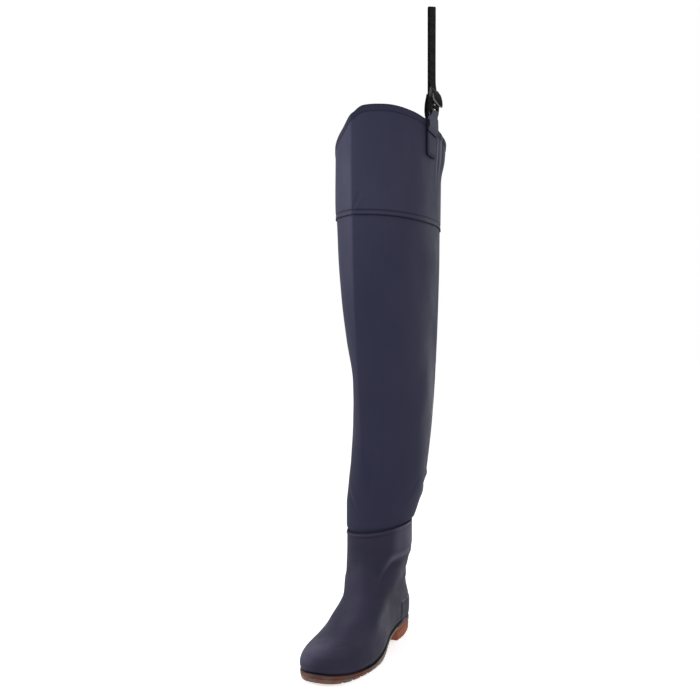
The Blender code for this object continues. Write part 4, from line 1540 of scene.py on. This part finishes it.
class StrapPlane:
    """The upright plane on the thigh panel's outer side that the strap lies in."""

    ANGLE = math.radians(86.5)
    HEIGHT = 0.838
    STEP = math.radians(1.0)

    def __init__(self, form: LegForm, panel: Piece) -> None:
        """Find the plane that touches the panel's solid at the strap's angle.

        Args:
            form: the leg's form.
            panel: the frame's node of the thigh panel.
        """
        turns = self.ANGLE + self.STEP * np.array([-1.0, 0.0, 1.0])
        points = form.smooth_points(turns, np.full(len(turns), self.HEIGHT))
        before, middle, after = (Vector((*point[:2], 0.0)) for point in points)
        self.along = (after - before).normalized()
        self.out = Vector((self.along.y, -self.along.x, 0.0))
        reach = max(vertex.co.dot(self.out) for vertex in panel.data.vertices)
        self.base = middle + self.out * (reach - middle.dot(self.out))

    def points(self, distance: Array, side: Array, height: Array) -> Array:
        """Places of distances out from the panel, shifts along it and heights."""
        base, out, along = (np.array(vector) for vector in (self.base, self.out, self.along))
        return base + np.outer(distance, out) + np.outer(side, along) + np.outer(height, np.array(UP))

    def measure(self, points: Array) -> tuple[Array, Array, Array]:
        """Distances out from the panel, shifts along it and heights of places."""
        away = points - np.array(self.base)
        return away @ np.array(self.out), away @ np.array(self.along), away[:, 2]


class Route:
    """A smooth line of distances and heights that a strap follows."""

    def __init__(self, corners: Sequence[Pair], steps: int) -> None:
        """Run a smooth curve through the corners and measure it.

        Args:
            corners: distances and heights, in order.
            steps: steps between two corners.
        """
        points = np.array(corners)
        before = np.vstack([2.0 * points[0] - points[1], points[:-1]])
        after = np.vstack([points[1:], 2.0 * points[-1] - points[-2]])
        slopes = (after - before) / 2.0
        limit = np.minimum(np.linalg.norm(points - before, axis=1), np.linalg.norm(after - points, axis=1))
        steepness = np.maximum(np.linalg.norm(slopes, axis=1), MERGE_DISTANCE)
        slopes *= np.minimum(1.0, limit / steepness)[:, None]
        s = np.linspace(0.0, 1.0, steps, endpoint=False)[:, None]
        line = [
            cubic(s, points[i], points[i + 1], slopes[i], slopes[i + 1]) for i in range(len(points) - 1)
        ]
        self.line = np.vstack(line + [points[-1:]])
        self.steps = len(self.line) - 1
        self.length = float(np.linalg.norm(np.diff(self.line, axis=0), axis=1).sum())

    def at(self, shares: Array) -> tuple[Array, Array]:
        """Distances and heights at shares of the route, 0 to 1."""
        places = np.arange(self.steps + 1) / self.steps
        return np.interp(shares, places, self.line[:, 0]), np.interp(shares, places, self.line[:, 1])


def arc(middle: Pair, radius: float, start: float, end: float, steps: int) -> list:
    """Points on an arc, given by its middle, radius and its start and end angles in degrees."""
    turns = np.radians(np.linspace(start, end, steps + 1))
    return [(middle[0] + radius * math.cos(turn), middle[1] + radius * math.sin(turn)) for turn in turns]


@dataclass
class StrapPart:
    """A part of the strap on its plane, with the sizes that the strap's parts share."""

    plane: StrapPlane
    web_width: float = 0.0234
    web_thickness: float = 0.0016
    tab_foot: float = 0.7785
    tab_head: float = 0.838
    buckle_plane: float = 0.0066
    foot_bar: float = 0.851
    mid_bar: float = 0.869
    lip_bar: float = 0.885
    bar_radius: float = 0.0019


@dataclass
class BeltWebbing(StrapPart):
    """The doubled webbing loop, and the ply on the panel's inside that it is sewn to."""

    web_edge: float = 0.0004
    web_across: int = 8
    web_foot: float = 0.791
    web_top: float = 1.020
    fold_radius: float = 0.0016
    # Slope of the slanted top, and where the slant begins
    web_tilt: float = 0.34
    web_tilt_ramp: Ramp = (0.930, 0.06)
    # Straight lengths at the fold and behind the bar
    lead_in: float = 0.017
    tail: float = 0.016
    # Bends of the inner ply: distance out from the panel's inside, and height
    anchor_bends: Pairs = ((-0.0014, 0.851), (-0.0008, 0.863), (0.0010, 0.872))
    anchor_top: float = 0.879

    def ribbon(self, route: Route, tilt: float = 0.0) -> Shape:
        """A band of webbing along a route, through the middle of its thickness.

        Args:
            route: the line that it follows.
            tilt: rise per width from its front side to its back side, at its top.

        Returns:
            The band.
        """

        def place(u: Array, v: Array) -> Array:
            """Points of the band."""
            distance, height = route.at(v)
            lift = u * self.web_width * tilt * ramp(height, *self.web_tilt_ramp)
            return self.plane.points(distance, (u - 0.5) * self.web_width, height + lift)

        return placed_grid(self.web_across, route.steps, place)

    def dress_webbing(self, name: str, shape: Shape, node: Optional[str] = None) -> Piece:
        """Turn a band into a piece of webbing."""
        piece = make_piece(name, shape, [BlackWebbing().material()], node)
        add_wall(piece, self.web_thickness, inside=False)
        round_edges(piece, self.web_edge)
        return piece

    def build(self) -> Piece:
        """Build the doubled webbing, from the tab's pocket over its top and round the buckle's bar."""
        back = GAP + self.web_thickness / 2.0
        fold = self.web_top - self.fold_radius - self.web_thickness / 2.0
        wrap = self.bar_radius + GAP + self.web_thickness / 2.0
        corners = [(back, self.web_foot), (back, self.lip_bar), (back, fold - self.lead_in), (back, fold)]
        corners += arc((back + self.fold_radius, fold), self.fold_radius, 150.0, 0.0, 5)
        front = back + 2.0 * self.fold_radius
        corners += [(front, fold - self.lead_in), (front, self.lip_bar + self.lead_in)]
        corners += arc((self.buckle_plane, self.mid_bar), wrap, 10.0, -180.0, 8)
        corners += [(self.buckle_plane - wrap, self.mid_bar + self.tail)]
        shape = self.ribbon(Route(corners, 10), self.web_tilt)
        return self.dress_webbing("belt_webbing", shape, "belt_loop")

    def build_anchor(self) -> Piece:
        """Build the inner ply, sewn to the panel's inside and joined to the webbing above the hem."""
        inside = -CLOTH_WALL - self.web_thickness - 2.0 * GAP
        corners = [(inside, self.tab_foot), (inside, self.tab_head)]
        corners += [(inside + out, height) for out, height in self.anchor_bends]
        corners += [(-self.web_thickness / 2.0, self.anchor_top)]
        return self.dress_webbing("belt_anchor_ply", self.ribbon(Route(corners, 8)))


@dataclass
class StrapTab(StrapPart):
    """The cloth tab on the panel, with an eye that holds the buckle, and its stitches."""

    tab_width: float = 0.034
    tab_point: float = 0.004
    tab_foot_share: float = 0.86
    tab_slant: float = 0.06
    tab_thickness: float = 0.0018
    tab_back: float = 0.0012
    tab_edge: float = 0.0005
    tab_across: int = 36
    # Pressed down round its rim, with a groove for the stitches
    rim_press: float = 0.0011
    rim_press_reach: float = 0.0042
    stitch_inset: float = 0.0034
    groove_depth: float = 0.0005
    groove_width: float = 0.0009
    # Strength and width of the tab's painted shade lines
    rim_line_shade: Pair = (0.9, 0.0009)
    stitch_groove_shade: Pair = (0.45, 0.0008)
    lap_shade: Pair = (0.9, 0.0014)
    # Eye, which laps over the tab
    tab_lap: float = 0.023
    lap_slant: float = 0.15
    lap_edge: float = 0.0012
    eye_inset: float = 0.001
    eye_neck: Ramp = (0.001, 0.006)
    eye_across: int = 24
    eye_out: float = 0.0006
    # Where it starts: distance out from its own line, and height over the tab's head
    eye_start: Pair = (-0.0002, -0.002)
    eye_lead: float = 0.003
    eye_rear_rise: float = 0.0006
    eye_bow: float = 0.0024
    # Distance out from the tab, and share of the lap
    eye_lap: Pairs = ((0.0025, 0.45), (0.0016, 0.66), (0.0002, 0.85), (0.0, 1.0))
    # Stitches
    stitch_length: float = 0.0026
    stitch_pitch: float = 0.0036
    stitch_radius: float = 0.00042
    stitch_sink: float = 0.0003
    stitch_top: float = 0.834
    lap_stitch_rise: float = 0.003
    lap_stitch_out: float = 0.98

    def tab_face(self) -> float:
        """Distance of the tab's front face from the panel."""
        return 2.0 * GAP + self.web_thickness + self.tab_thickness

    def tab_half(self, height: Array) -> Array:
        """Half the tab's width at heights, with rounded corners at its foot."""
        share = ramp(height, self.tab_foot - self.tab_point / 2.0, 2.0 * self.tab_point)
        return self.tab_width / 2.0 * (self.tab_foot_share + (1.0 - self.tab_foot_share) * share)

    def tab_points(self, distance: Array, side: Array, height: Array) -> Array:
        """Places on the tab, whose foot hangs a little lower at its back."""
        share = (self.tab_head - height) / (self.tab_head - self.tab_foot)
        return self.plane.points(distance, side, height - self.tab_slant * side * np.clip(share, 0.0, 1.0))

    def lap_drop(self, side: Array, height: Array) -> Array:
        """How far the eye's lap hangs lower than level, at sides and heights."""
        return self.lap_slant * side * smooth_rise((self.tab_head - height) / self.tab_lap)

    def build(self) -> Piece:
        """Build the tab's plate, crowned over the webbing's end."""
        face = self.tab_face()
        knee = self.tab_foot + self.tab_point
        rows = stations((self.tab_foot, knee, 14), (knee, self.tab_head, 48))

        def measure(u: Array, v: Array) -> tuple[Array, Array, Array]:
            """Heights, sides and distances from the rim of places on the tab."""
            height = rows[nearest(v, len(rows))]
            width = 2.0 * self.tab_half(height)
            rim = np.minimum((0.5 - np.abs(u - 0.5)) * width, height - self.tab_foot)
            return height, (u - 0.5) * width, rim

        def place(u: Array, v: Array) -> Array:
            """Points of the tab's face."""
            height, side, rim = measure(u, v)
            press = self.rim_press * (1.0 - smooth_rise(rim / self.rim_press_reach))
            groove = self.groove_depth * soft_bump(rim - self.stitch_inset, self.groove_width)
            return self.tab_points(face - press - groove, side, height)

        def line(u: Array, v: Array) -> Array:
            """Where painted shade darkens the rim, the stitches' groove and the tab just under the eye's
            lap.
            """
            height, side, rim = measure(u, v)
            under = height + self.lap_drop(side, height) - (self.tab_head - self.tab_lap)
            lines = (
                (rim, self.rim_line_shade),
                (rim - self.stitch_inset, self.stitch_groove_shade),
                (under, self.lap_shade),
            )
            dark = sum(strength * soft_bump(away, width) for away, (strength, width) in lines)
            return np.clip(dark, 0.0, 1.0)

        shape = placed_grid(self.tab_across, len(rows) - 1, place, line)
        tab = make_piece("strap_tab_plate", shape, [TAB_CLOTH.material()], "strap_tab")
        add_wall(tab, face - GAP - self.tab_back)
        round_edges(tab, self.tab_edge)
        return tab

    def eye_route(self) -> Route:
        """The eye's line: up behind the foot bar, round it and down over the tab."""
        wrap = self.bar_radius + GAP + self.tab_thickness / 2.0
        face = self.tab_face() + self.eye_out
        lead = self.tab_head + self.eye_lead
        out, up = self.eye_start
        corners = [(face + out, self.tab_head + up), (face, lead)]
        corners += [(self.buckle_plane - wrap, self.foot_bar - wrap + self.eye_rear_rise)]
        corners += arc((self.buckle_plane, self.foot_bar), wrap, 180.0, -10.0, 8)
        corners += [(face + self.eye_bow, lead)]
        corners += [(face + out, self.tab_head - self.tab_lap * share) for out, share in self.eye_lap]
        return Route(corners, 6)

    def build_eye(self) -> Piece:
        """Build the tab's eye, narrower where it runs between the buckle's rails."""
        route = self.eye_route()
        narrow = self.web_width - GAP
        wide = self.tab_width - self.eye_inset
        start, reach = self.eye_neck

        def place(u: Array, v: Array) -> Array:
            """Points of the eye."""
            distance, height = route.at(v)
            width = wide + (narrow - wide) * ramp(height, self.tab_head + start, reach)
            side = (u - 0.5) * width
            return self.plane.points(distance, side, height - self.lap_drop(side, height))

        def line(u: Array, v: Array) -> Array:
            """Where painted shade darkens the lap's cut edge."""
            return soft_bump((1.0 - v) * route.length, self.lap_edge)

        shape = placed_grid(self.eye_across, route.steps, place, line)
        eye = make_piece("tab_eye", shape, [EYE_CLOTH.material()])
        add_wall(eye, self.tab_thickness, inside=False)
        round_edges(eye, self.tab_edge)
        return eye

    def stitch_line(self, ends: Array) -> list[Shape]:
        """Stitches in a row between two places."""
        start, end = (Vector(place) for place in ends)
        run = end - start
        count = max(1, int(run.length / self.stitch_pitch))
        stretch = self.stitch_length / (2.0 * self.stitch_radius)
        turn = UP.rotation_difference(run.normalized()).to_matrix()
        shapes = []
        for i in range(count):
            shape = bmesh.new()
            bmesh.ops.create_icosphere(shape, subdivisions=2, radius=self.stitch_radius)
            bmesh.ops.scale(shape, vec=(1.0, 1.0, stretch), verts=shape.verts)
            bmesh.ops.rotate(shape, matrix=turn, verts=shape.verts)
            bmesh.ops.translate(shape, vec=start + run * ((i + 0.5) / count), verts=shape.verts)
            shapes.append(shape)
        return shapes

    def build_stitches(self) -> Piece:
        """Build the tab's stitching: down both sides, along its foot and across the eye's lap."""
        half = self.tab_width / 2.0 - self.stitch_inset
        foot = self.tab_foot + self.stitch_inset
        knee = self.tab_foot + self.tab_point
        low = float(self.tab_half(np.array([foot]))[0]) - self.stitch_inset
        body = np.full(2, self.tab_face() - self.stitch_sink)
        # Side and height of each row's two ends
        rows = (
            ((-half, knee), (-half, self.stitch_top)),
            ((half, knee), (half, self.stitch_top)),
            ((-half, knee), (-low, foot)),
            ((half, knee), (low, foot)),
            ((-low, foot), (low, foot)),
        )
        shapes = []
        for ends in rows:
            sides, heights = np.array(ends).T
            shapes += self.stitch_line(self.tab_points(body, sides, heights))
        over = np.full(2, self.tab_face() + self.tab_thickness * self.lap_stitch_out)
        sides = np.array([-half, half])
        heights = np.full(2, self.tab_head - self.tab_lap + self.lap_stitch_rise)
        heights = heights - self.lap_drop(sides, heights)
        shapes += self.stitch_line(self.plane.points(over, sides, heights))
        return make_piece("tab_stitches", join_shapes(shapes), [SEWING_THREAD.material()])


@dataclass
class LadderBuckle(StrapPart):
    """The moulded buckle: two rails, bars across them and a thumb lever."""

    buckle_width: float = 0.033
    buckle_end: float = 0.0032
    buckle_grain: float = 0.00035
    buckle_softness: int = 6
    rail: float = 0.0045
    rail_front: float = 0.0015
    rail_rear: float = 0.0025
    rail_bow: float = 0.0014
    rail_bow_power: float = 0.8
    rail_squareness: float = 0.5
    rail_points: int = 44
    front_lean: float = 0.3
    rear_lean: float = 0.4
    spare_bar: float = 0.8602
    spare_radius: float = 0.0029
    bar_points: int = 20
    lip_reach: float = 0.0040
    # Bends of the lever: distance out from the lip, and height
    lever_bends: Pairs = (
        (-0.0022, 0.8882), (0.0008, 0.881), (0.0034, 0.872), (0.0040, 0.865), (0.0032, 0.8585),
    )
    lever_thickness: float = 0.0018
    lever_across: int = 28
    # Slanted end of the lever: rise and power towards its front side and its back side
    lever_front: Pair = (0.0100, 1.5)
    lever_back: Pair = (0.0025, 5.0)
    lever_turn: float = 0.12
    lever_turn_reach: float = 0.008
    # Painted highlights, by the distance from the lever's rim and on the rails
    lever_highlight: Ramp = (0.0018, -0.0012)
    rail_highlight: float = 0.3
    rail_highlight_width: float = 0.0009
    rail_highlight_reach: float = 0.012

    def rail_shape(self, side: float) -> Shape:
        """One side rail: straight at the back, a little bowed at the front, and leaning out at its lip."""
        foot = self.foot_bar - self.buckle_end
        head = self.lip_bar + self.buckle_end
        shape = bmesh.new()
        bmesh.ops.create_circle(shape, cap_ends=True, segments=self.rail_points, radius=1.0)
        x, y, _ = points_of(shape).T
        share = (y + 1.0) / 2.0
        bow = self.rail_bow * np.abs(np.sin(math.pi * share)) ** self.rail_bow_power
        lean = self.lip_reach * ramp(share, 0.5, 0.5)
        front = self.buckle_plane + self.rail_front + bow + lean * self.front_lean
        rear = self.buckle_plane - self.rail_rear + lean * self.rear_lean
        square = np.copysign(np.abs(x) ** self.rail_squareness, x)
        distance = (front + rear) / 2.0 + (front - rear) / 2.0 * square
        sides = np.full(len(x), side - self.rail / 2.0)
        move_points(shape, self.plane.points(distance, sides, foot + (head - foot) * share))
        made = bmesh.ops.extrude_face_region(shape, geom=list(shape.faces))
        moved = [part for part in made["geom"] if isinstance(part, bmesh.types.BMVert)]
        bmesh.ops.translate(shape, vec=self.plane.along * self.rail, verts=moved)
        bmesh.ops.recalc_face_normals(shape, faces=shape.faces)
        return shape

    def bar_shape(self, height: float, radius: float) -> Shape:
        """One round bar across the buckle."""
        shape = bmesh.new()
        bmesh.ops.create_cone(
            shape, cap_ends=True, segments=self.bar_points, radius1=radius, radius2=radius,
            depth=self.buckle_width - self.rail,
        )
        turn = UP.rotation_difference(self.plane.along).to_matrix()
        bmesh.ops.rotate(shape, matrix=turn, verts=shape.verts)
        place = self.plane.points(np.array([self.buckle_plane]), np.array([0.0]), np.array([height]))[0]
        bmesh.ops.translate(shape, vec=Vector(place), verts=shape.verts)
        return shape

    def lever_drop(self, side: Array) -> Array:
        """How far the lever's free end lies above its lowest place, at sides: it slants up to the front."""
        share = np.clip(0.5 - side / (self.buckle_width - self.rail), 0.0, 1.0)
        front, front_power = self.lever_front
        back, back_power = self.lever_back
        return front * share ** front_power + back * (1.0 - share) ** back_power

    def lever_shape(self) -> Shape:
        """The bowed thumb lever in front of the webbing, with a rounded free end."""
        reach = self.buckle_plane + self.lip_reach
        route = Route([(reach + out, height) for out, height in self.lever_bends], 6)
        head = self.lever_bends[0][1]

        def place(u: Array, v: Array) -> Array:
            """Points of the lever."""
            side = (u - 0.5) * (self.buckle_width - self.rail)
            distance, height = route.at(v * (1.0 - self.lever_drop(side) / route.length))
            turned = self.lever_turn * side * smooth_rise((head - height) / self.lever_turn_reach)
            return self.plane.points(distance + turned, side, height)

        shape = placed_grid(self.lever_across, route.steps, place)
        bmesh.ops.recalc_face_normals(shape, faces=shape.faces)
        bmesh.ops.solidify(shape, geom=list(shape.faces), thickness=self.lever_thickness)
        bmesh.ops.recalc_face_normals(shape, faces=shape.faces)
        return shape

    def paint_buckle_highlights(self, shape: Shape) -> None:
        """Keep where painted highlights lighten the buckle: round the lever's rim and on the rails' front
        sides.
        """
        distance, side, height = self.plane.measure(points_of(shape))
        half = (self.buckle_width - self.rail) / 2.0
        end = self.lever_bends[-1][1] + self.lever_drop(side)
        rim = np.minimum(half - np.abs(side), height - end)
        on_lever = distance > self.buckle_plane + self.lip_reach
        edge = on_lever * ramp(rim, *self.lever_highlight)
        on_side = side < self.rail_highlight_width - self.buckle_width / 2.0
        rail = self.rail_highlight * on_side * ramp(height, self.mid_bar, self.rail_highlight_reach)
        paint(shape, "wear_and_highlight", np.maximum(edge, rail))

    def build(self) -> Piece:
        """Build the ladder buckle: rails, bars and lever fused into one moulding."""
        side = (self.buckle_width - self.rail) / 2.0
        shapes = [
            self.rail_shape(-side),
            self.rail_shape(side),
            self.bar_shape(self.foot_bar, self.bar_radius),
            self.bar_shape(self.mid_bar, self.bar_radius),
            self.bar_shape(self.spare_bar, self.spare_radius),
            self.lever_shape(),
        ]
        shape = fuse(shapes, self.buckle_grain, self.buckle_softness)
        self.paint_buckle_highlights(shape)
        return make_piece("ladder_buckle", shape, [BucklePlastic().material()], "buckle")


@dataclass(frozen=True)
class SoftLight:
    """A square soft light, with its size, its spread in degrees and its power in watts."""

    name: str
    place: tuple[float, float, float]
    target: tuple[float, float, float]
    size: float
    spread: float
    power: float

    def build(self) -> None:
        """Hang the light and aim it."""
        light = bpy.data.lights.new(self.name, "AREA")
        light.shape = "SQUARE"
        light.size = self.size
        light.spread = math.radians(self.spread)
        light.energy = self.power
        lamp = bpy.data.objects.new(self.name, light)
        bpy.context.scene.collection.objects.link(lamp)
        lamp.location = self.place
        aim = Vector(self.target) - Vector(self.place)
        lamp.rotation_euler = aim.to_track_quat("-Z", "Y").to_euler()


@dataclass
class Studio:
    """The pale floor, the soft lights and the camera at the photograph's angle."""

    azimuth: float = math.radians(20.0)
    distance: float = 1.36
    eye_height: float = 0.470
    pitch: float = math.radians(-0.3)
    focal_pixels: float = 825.0
    frame_pixels: float = 700.0
    axis_column: float = 384.0
    sensor: float = 36.0
    surround: float = 0.56
    white: Colour = (1.0, 1.0, 1.0)
    floor_size: float = 40.0
    floor_steps: int = 8
    floor_colour: Colour = (0.82, 0.82, 0.82)
    floor_roughness: float = 0.7
    floor_specular: float = 0.2
    floor_glow: float = 0.62

    LIGHTS = (
        SoftLight("key_left", (-2.2, -0.75, 1.05), (0.0, 0.0, 0.82), 0.6, 30.0, 1.15),
        SoftLight("top_left", (-0.75, 0.45, 2.60), (0.0, -0.15, 0.05), 1.0, 120.0, 5.6),
        SoftLight("toe_left", (-1.7, -0.9, 0.80), (-0.02, -0.23, 0.00), 0.3, 11.0, 0.16),
        SoftLight("heel_right", (0.45, 2.1, 0.30), (0.02, 0.0, 0.11), 0.4, 16.0, 0.18),
        SoftLight("fill_right", (1.6, -1.3, 2.30), (0.0, 0.0, 0.65), 1.0, 120.0, 2.5),
        SoftLight("fill_front", (0.1, -2.4, 1.20), (0.0, 0.0, 0.82), 1.0, 36.0, 0.80),
        SoftLight("edge_right", (0.75, 2.3, 1.10), (0.0, 0.0, 0.65), 0.9, 120.0, 1.5),
    )

    def build_camera(self) -> None:
        """Place the camera so that the part lies in the frame as in the photograph."""
        camera = bpy.data.objects.new("camera", bpy.data.cameras.new("camera"))
        bpy.context.scene.collection.objects.link(camera)
        aside = math.atan((self.axis_column - self.frame_pixels / 2.0) / self.focal_pixels)
        camera.location = (
            math.sin(self.azimuth) * self.distance, -math.cos(self.azimuth) * self.distance, self.eye_height,
        )
        camera.rotation_euler = (math.pi / 2.0 + self.pitch, 0.0, self.azimuth + aside)
        camera.data.sensor_width = self.sensor
        camera.data.lens = self.focal_pixels / self.frame_pixels * self.sensor
        bpy.context.scene.camera = camera

    def build_floor(self) -> None:
        """Lay a pale floor under the part."""
        shape = bmesh.new()
        bmesh.ops.create_grid(
            shape, x_segments=self.floor_steps, y_segments=self.floor_steps, size=self.floor_size / 2.0
        )
        mesh = bpy.data.meshes.new("floor")
        shape.to_mesh(mesh)
        shape.free()
        mesh.materials.append(NodeTree("floor").finish(
            Base_Color=self.floor_colour, Roughness=self.floor_roughness,
            Specular_IOR_Level=self.floor_specular, Emission_Color=self.white,
            Emission_Strength=self.floor_glow,
        ))
        floor = bpy.data.objects.new("floor", mesh)
        floor.visible_diffuse = False
        floor.visible_glossy = False
        bpy.context.scene.collection.objects.link(floor)

    def build_surround(self) -> None:
        """Light the part evenly from all round, before a white backdrop."""
        scene = bpy.context.scene
        scene.view_settings.view_transform = "Standard"
        scene.world = bpy.data.worlds.new("surround")
        scene.world.use_nodes = True
        nodes = scene.world.node_tree.nodes
        links = scene.world.node_tree.links
        lighting = nodes["Background"]
        lighting.inputs["Strength"].default_value = self.surround
        backdrop = nodes.new("ShaderNodeBackground")
        for background in (lighting, backdrop):
            background.inputs["Color"].default_value = (*self.white, 1.0)
        path = nodes.new("ShaderNodeLightPath")
        mix = nodes.new("ShaderNodeMixShader")
        links.new(path.outputs["Is Camera Ray"], mix.inputs[0])
        links.new(lighting.outputs[0], mix.inputs[1])
        links.new(backdrop.outputs[0], mix.inputs[2])
        links.new(mix.outputs[0], nodes["World Output"].inputs["Surface"])

    def build(self) -> None:
        """Set up the camera, the floor, the surround and the lights."""
        self.build_camera()
        self.build_floor()
        self.build_surround()
        for light in self.LIGHTS:
            light.build()


def main() -> None:
    """Build and dress every piece of the wader, in order."""
    logging.basicConfig(level=logging.INFO, format="%(message)s")
    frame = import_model()
    Studio().build()
    boot_form = BootForm()
    leg_form = LegForm()
    leg = LegTube(leg_form, boot_form)
    plane = StrapPlane(leg_form, frame["nodes"]["thigh_panel"])
    webbing = BeltWebbing(plane)
    tab = StrapTab(plane)
    builders = (
        Outsole(boot_form, "gum_outsole", "outsole").build,
        Insole(boot_form, "felt_insole", "insole").build,
        MouldedBoot(boot_form).build,
        leg.build,
        leg.build_tape,
        ThighPanel(leg_form).build,
        webbing.build,
        webbing.build_anchor,
        tab.build,
        tab.build_eye,
        tab.build_stitches,
        LadderBuckle(plane).build,
    )
    for build in builders:
        piece = build()
        LOG.info("%s: %d faces", piece.name, len(piece.data.polygons))


if __name__ == "__main__":
    main()
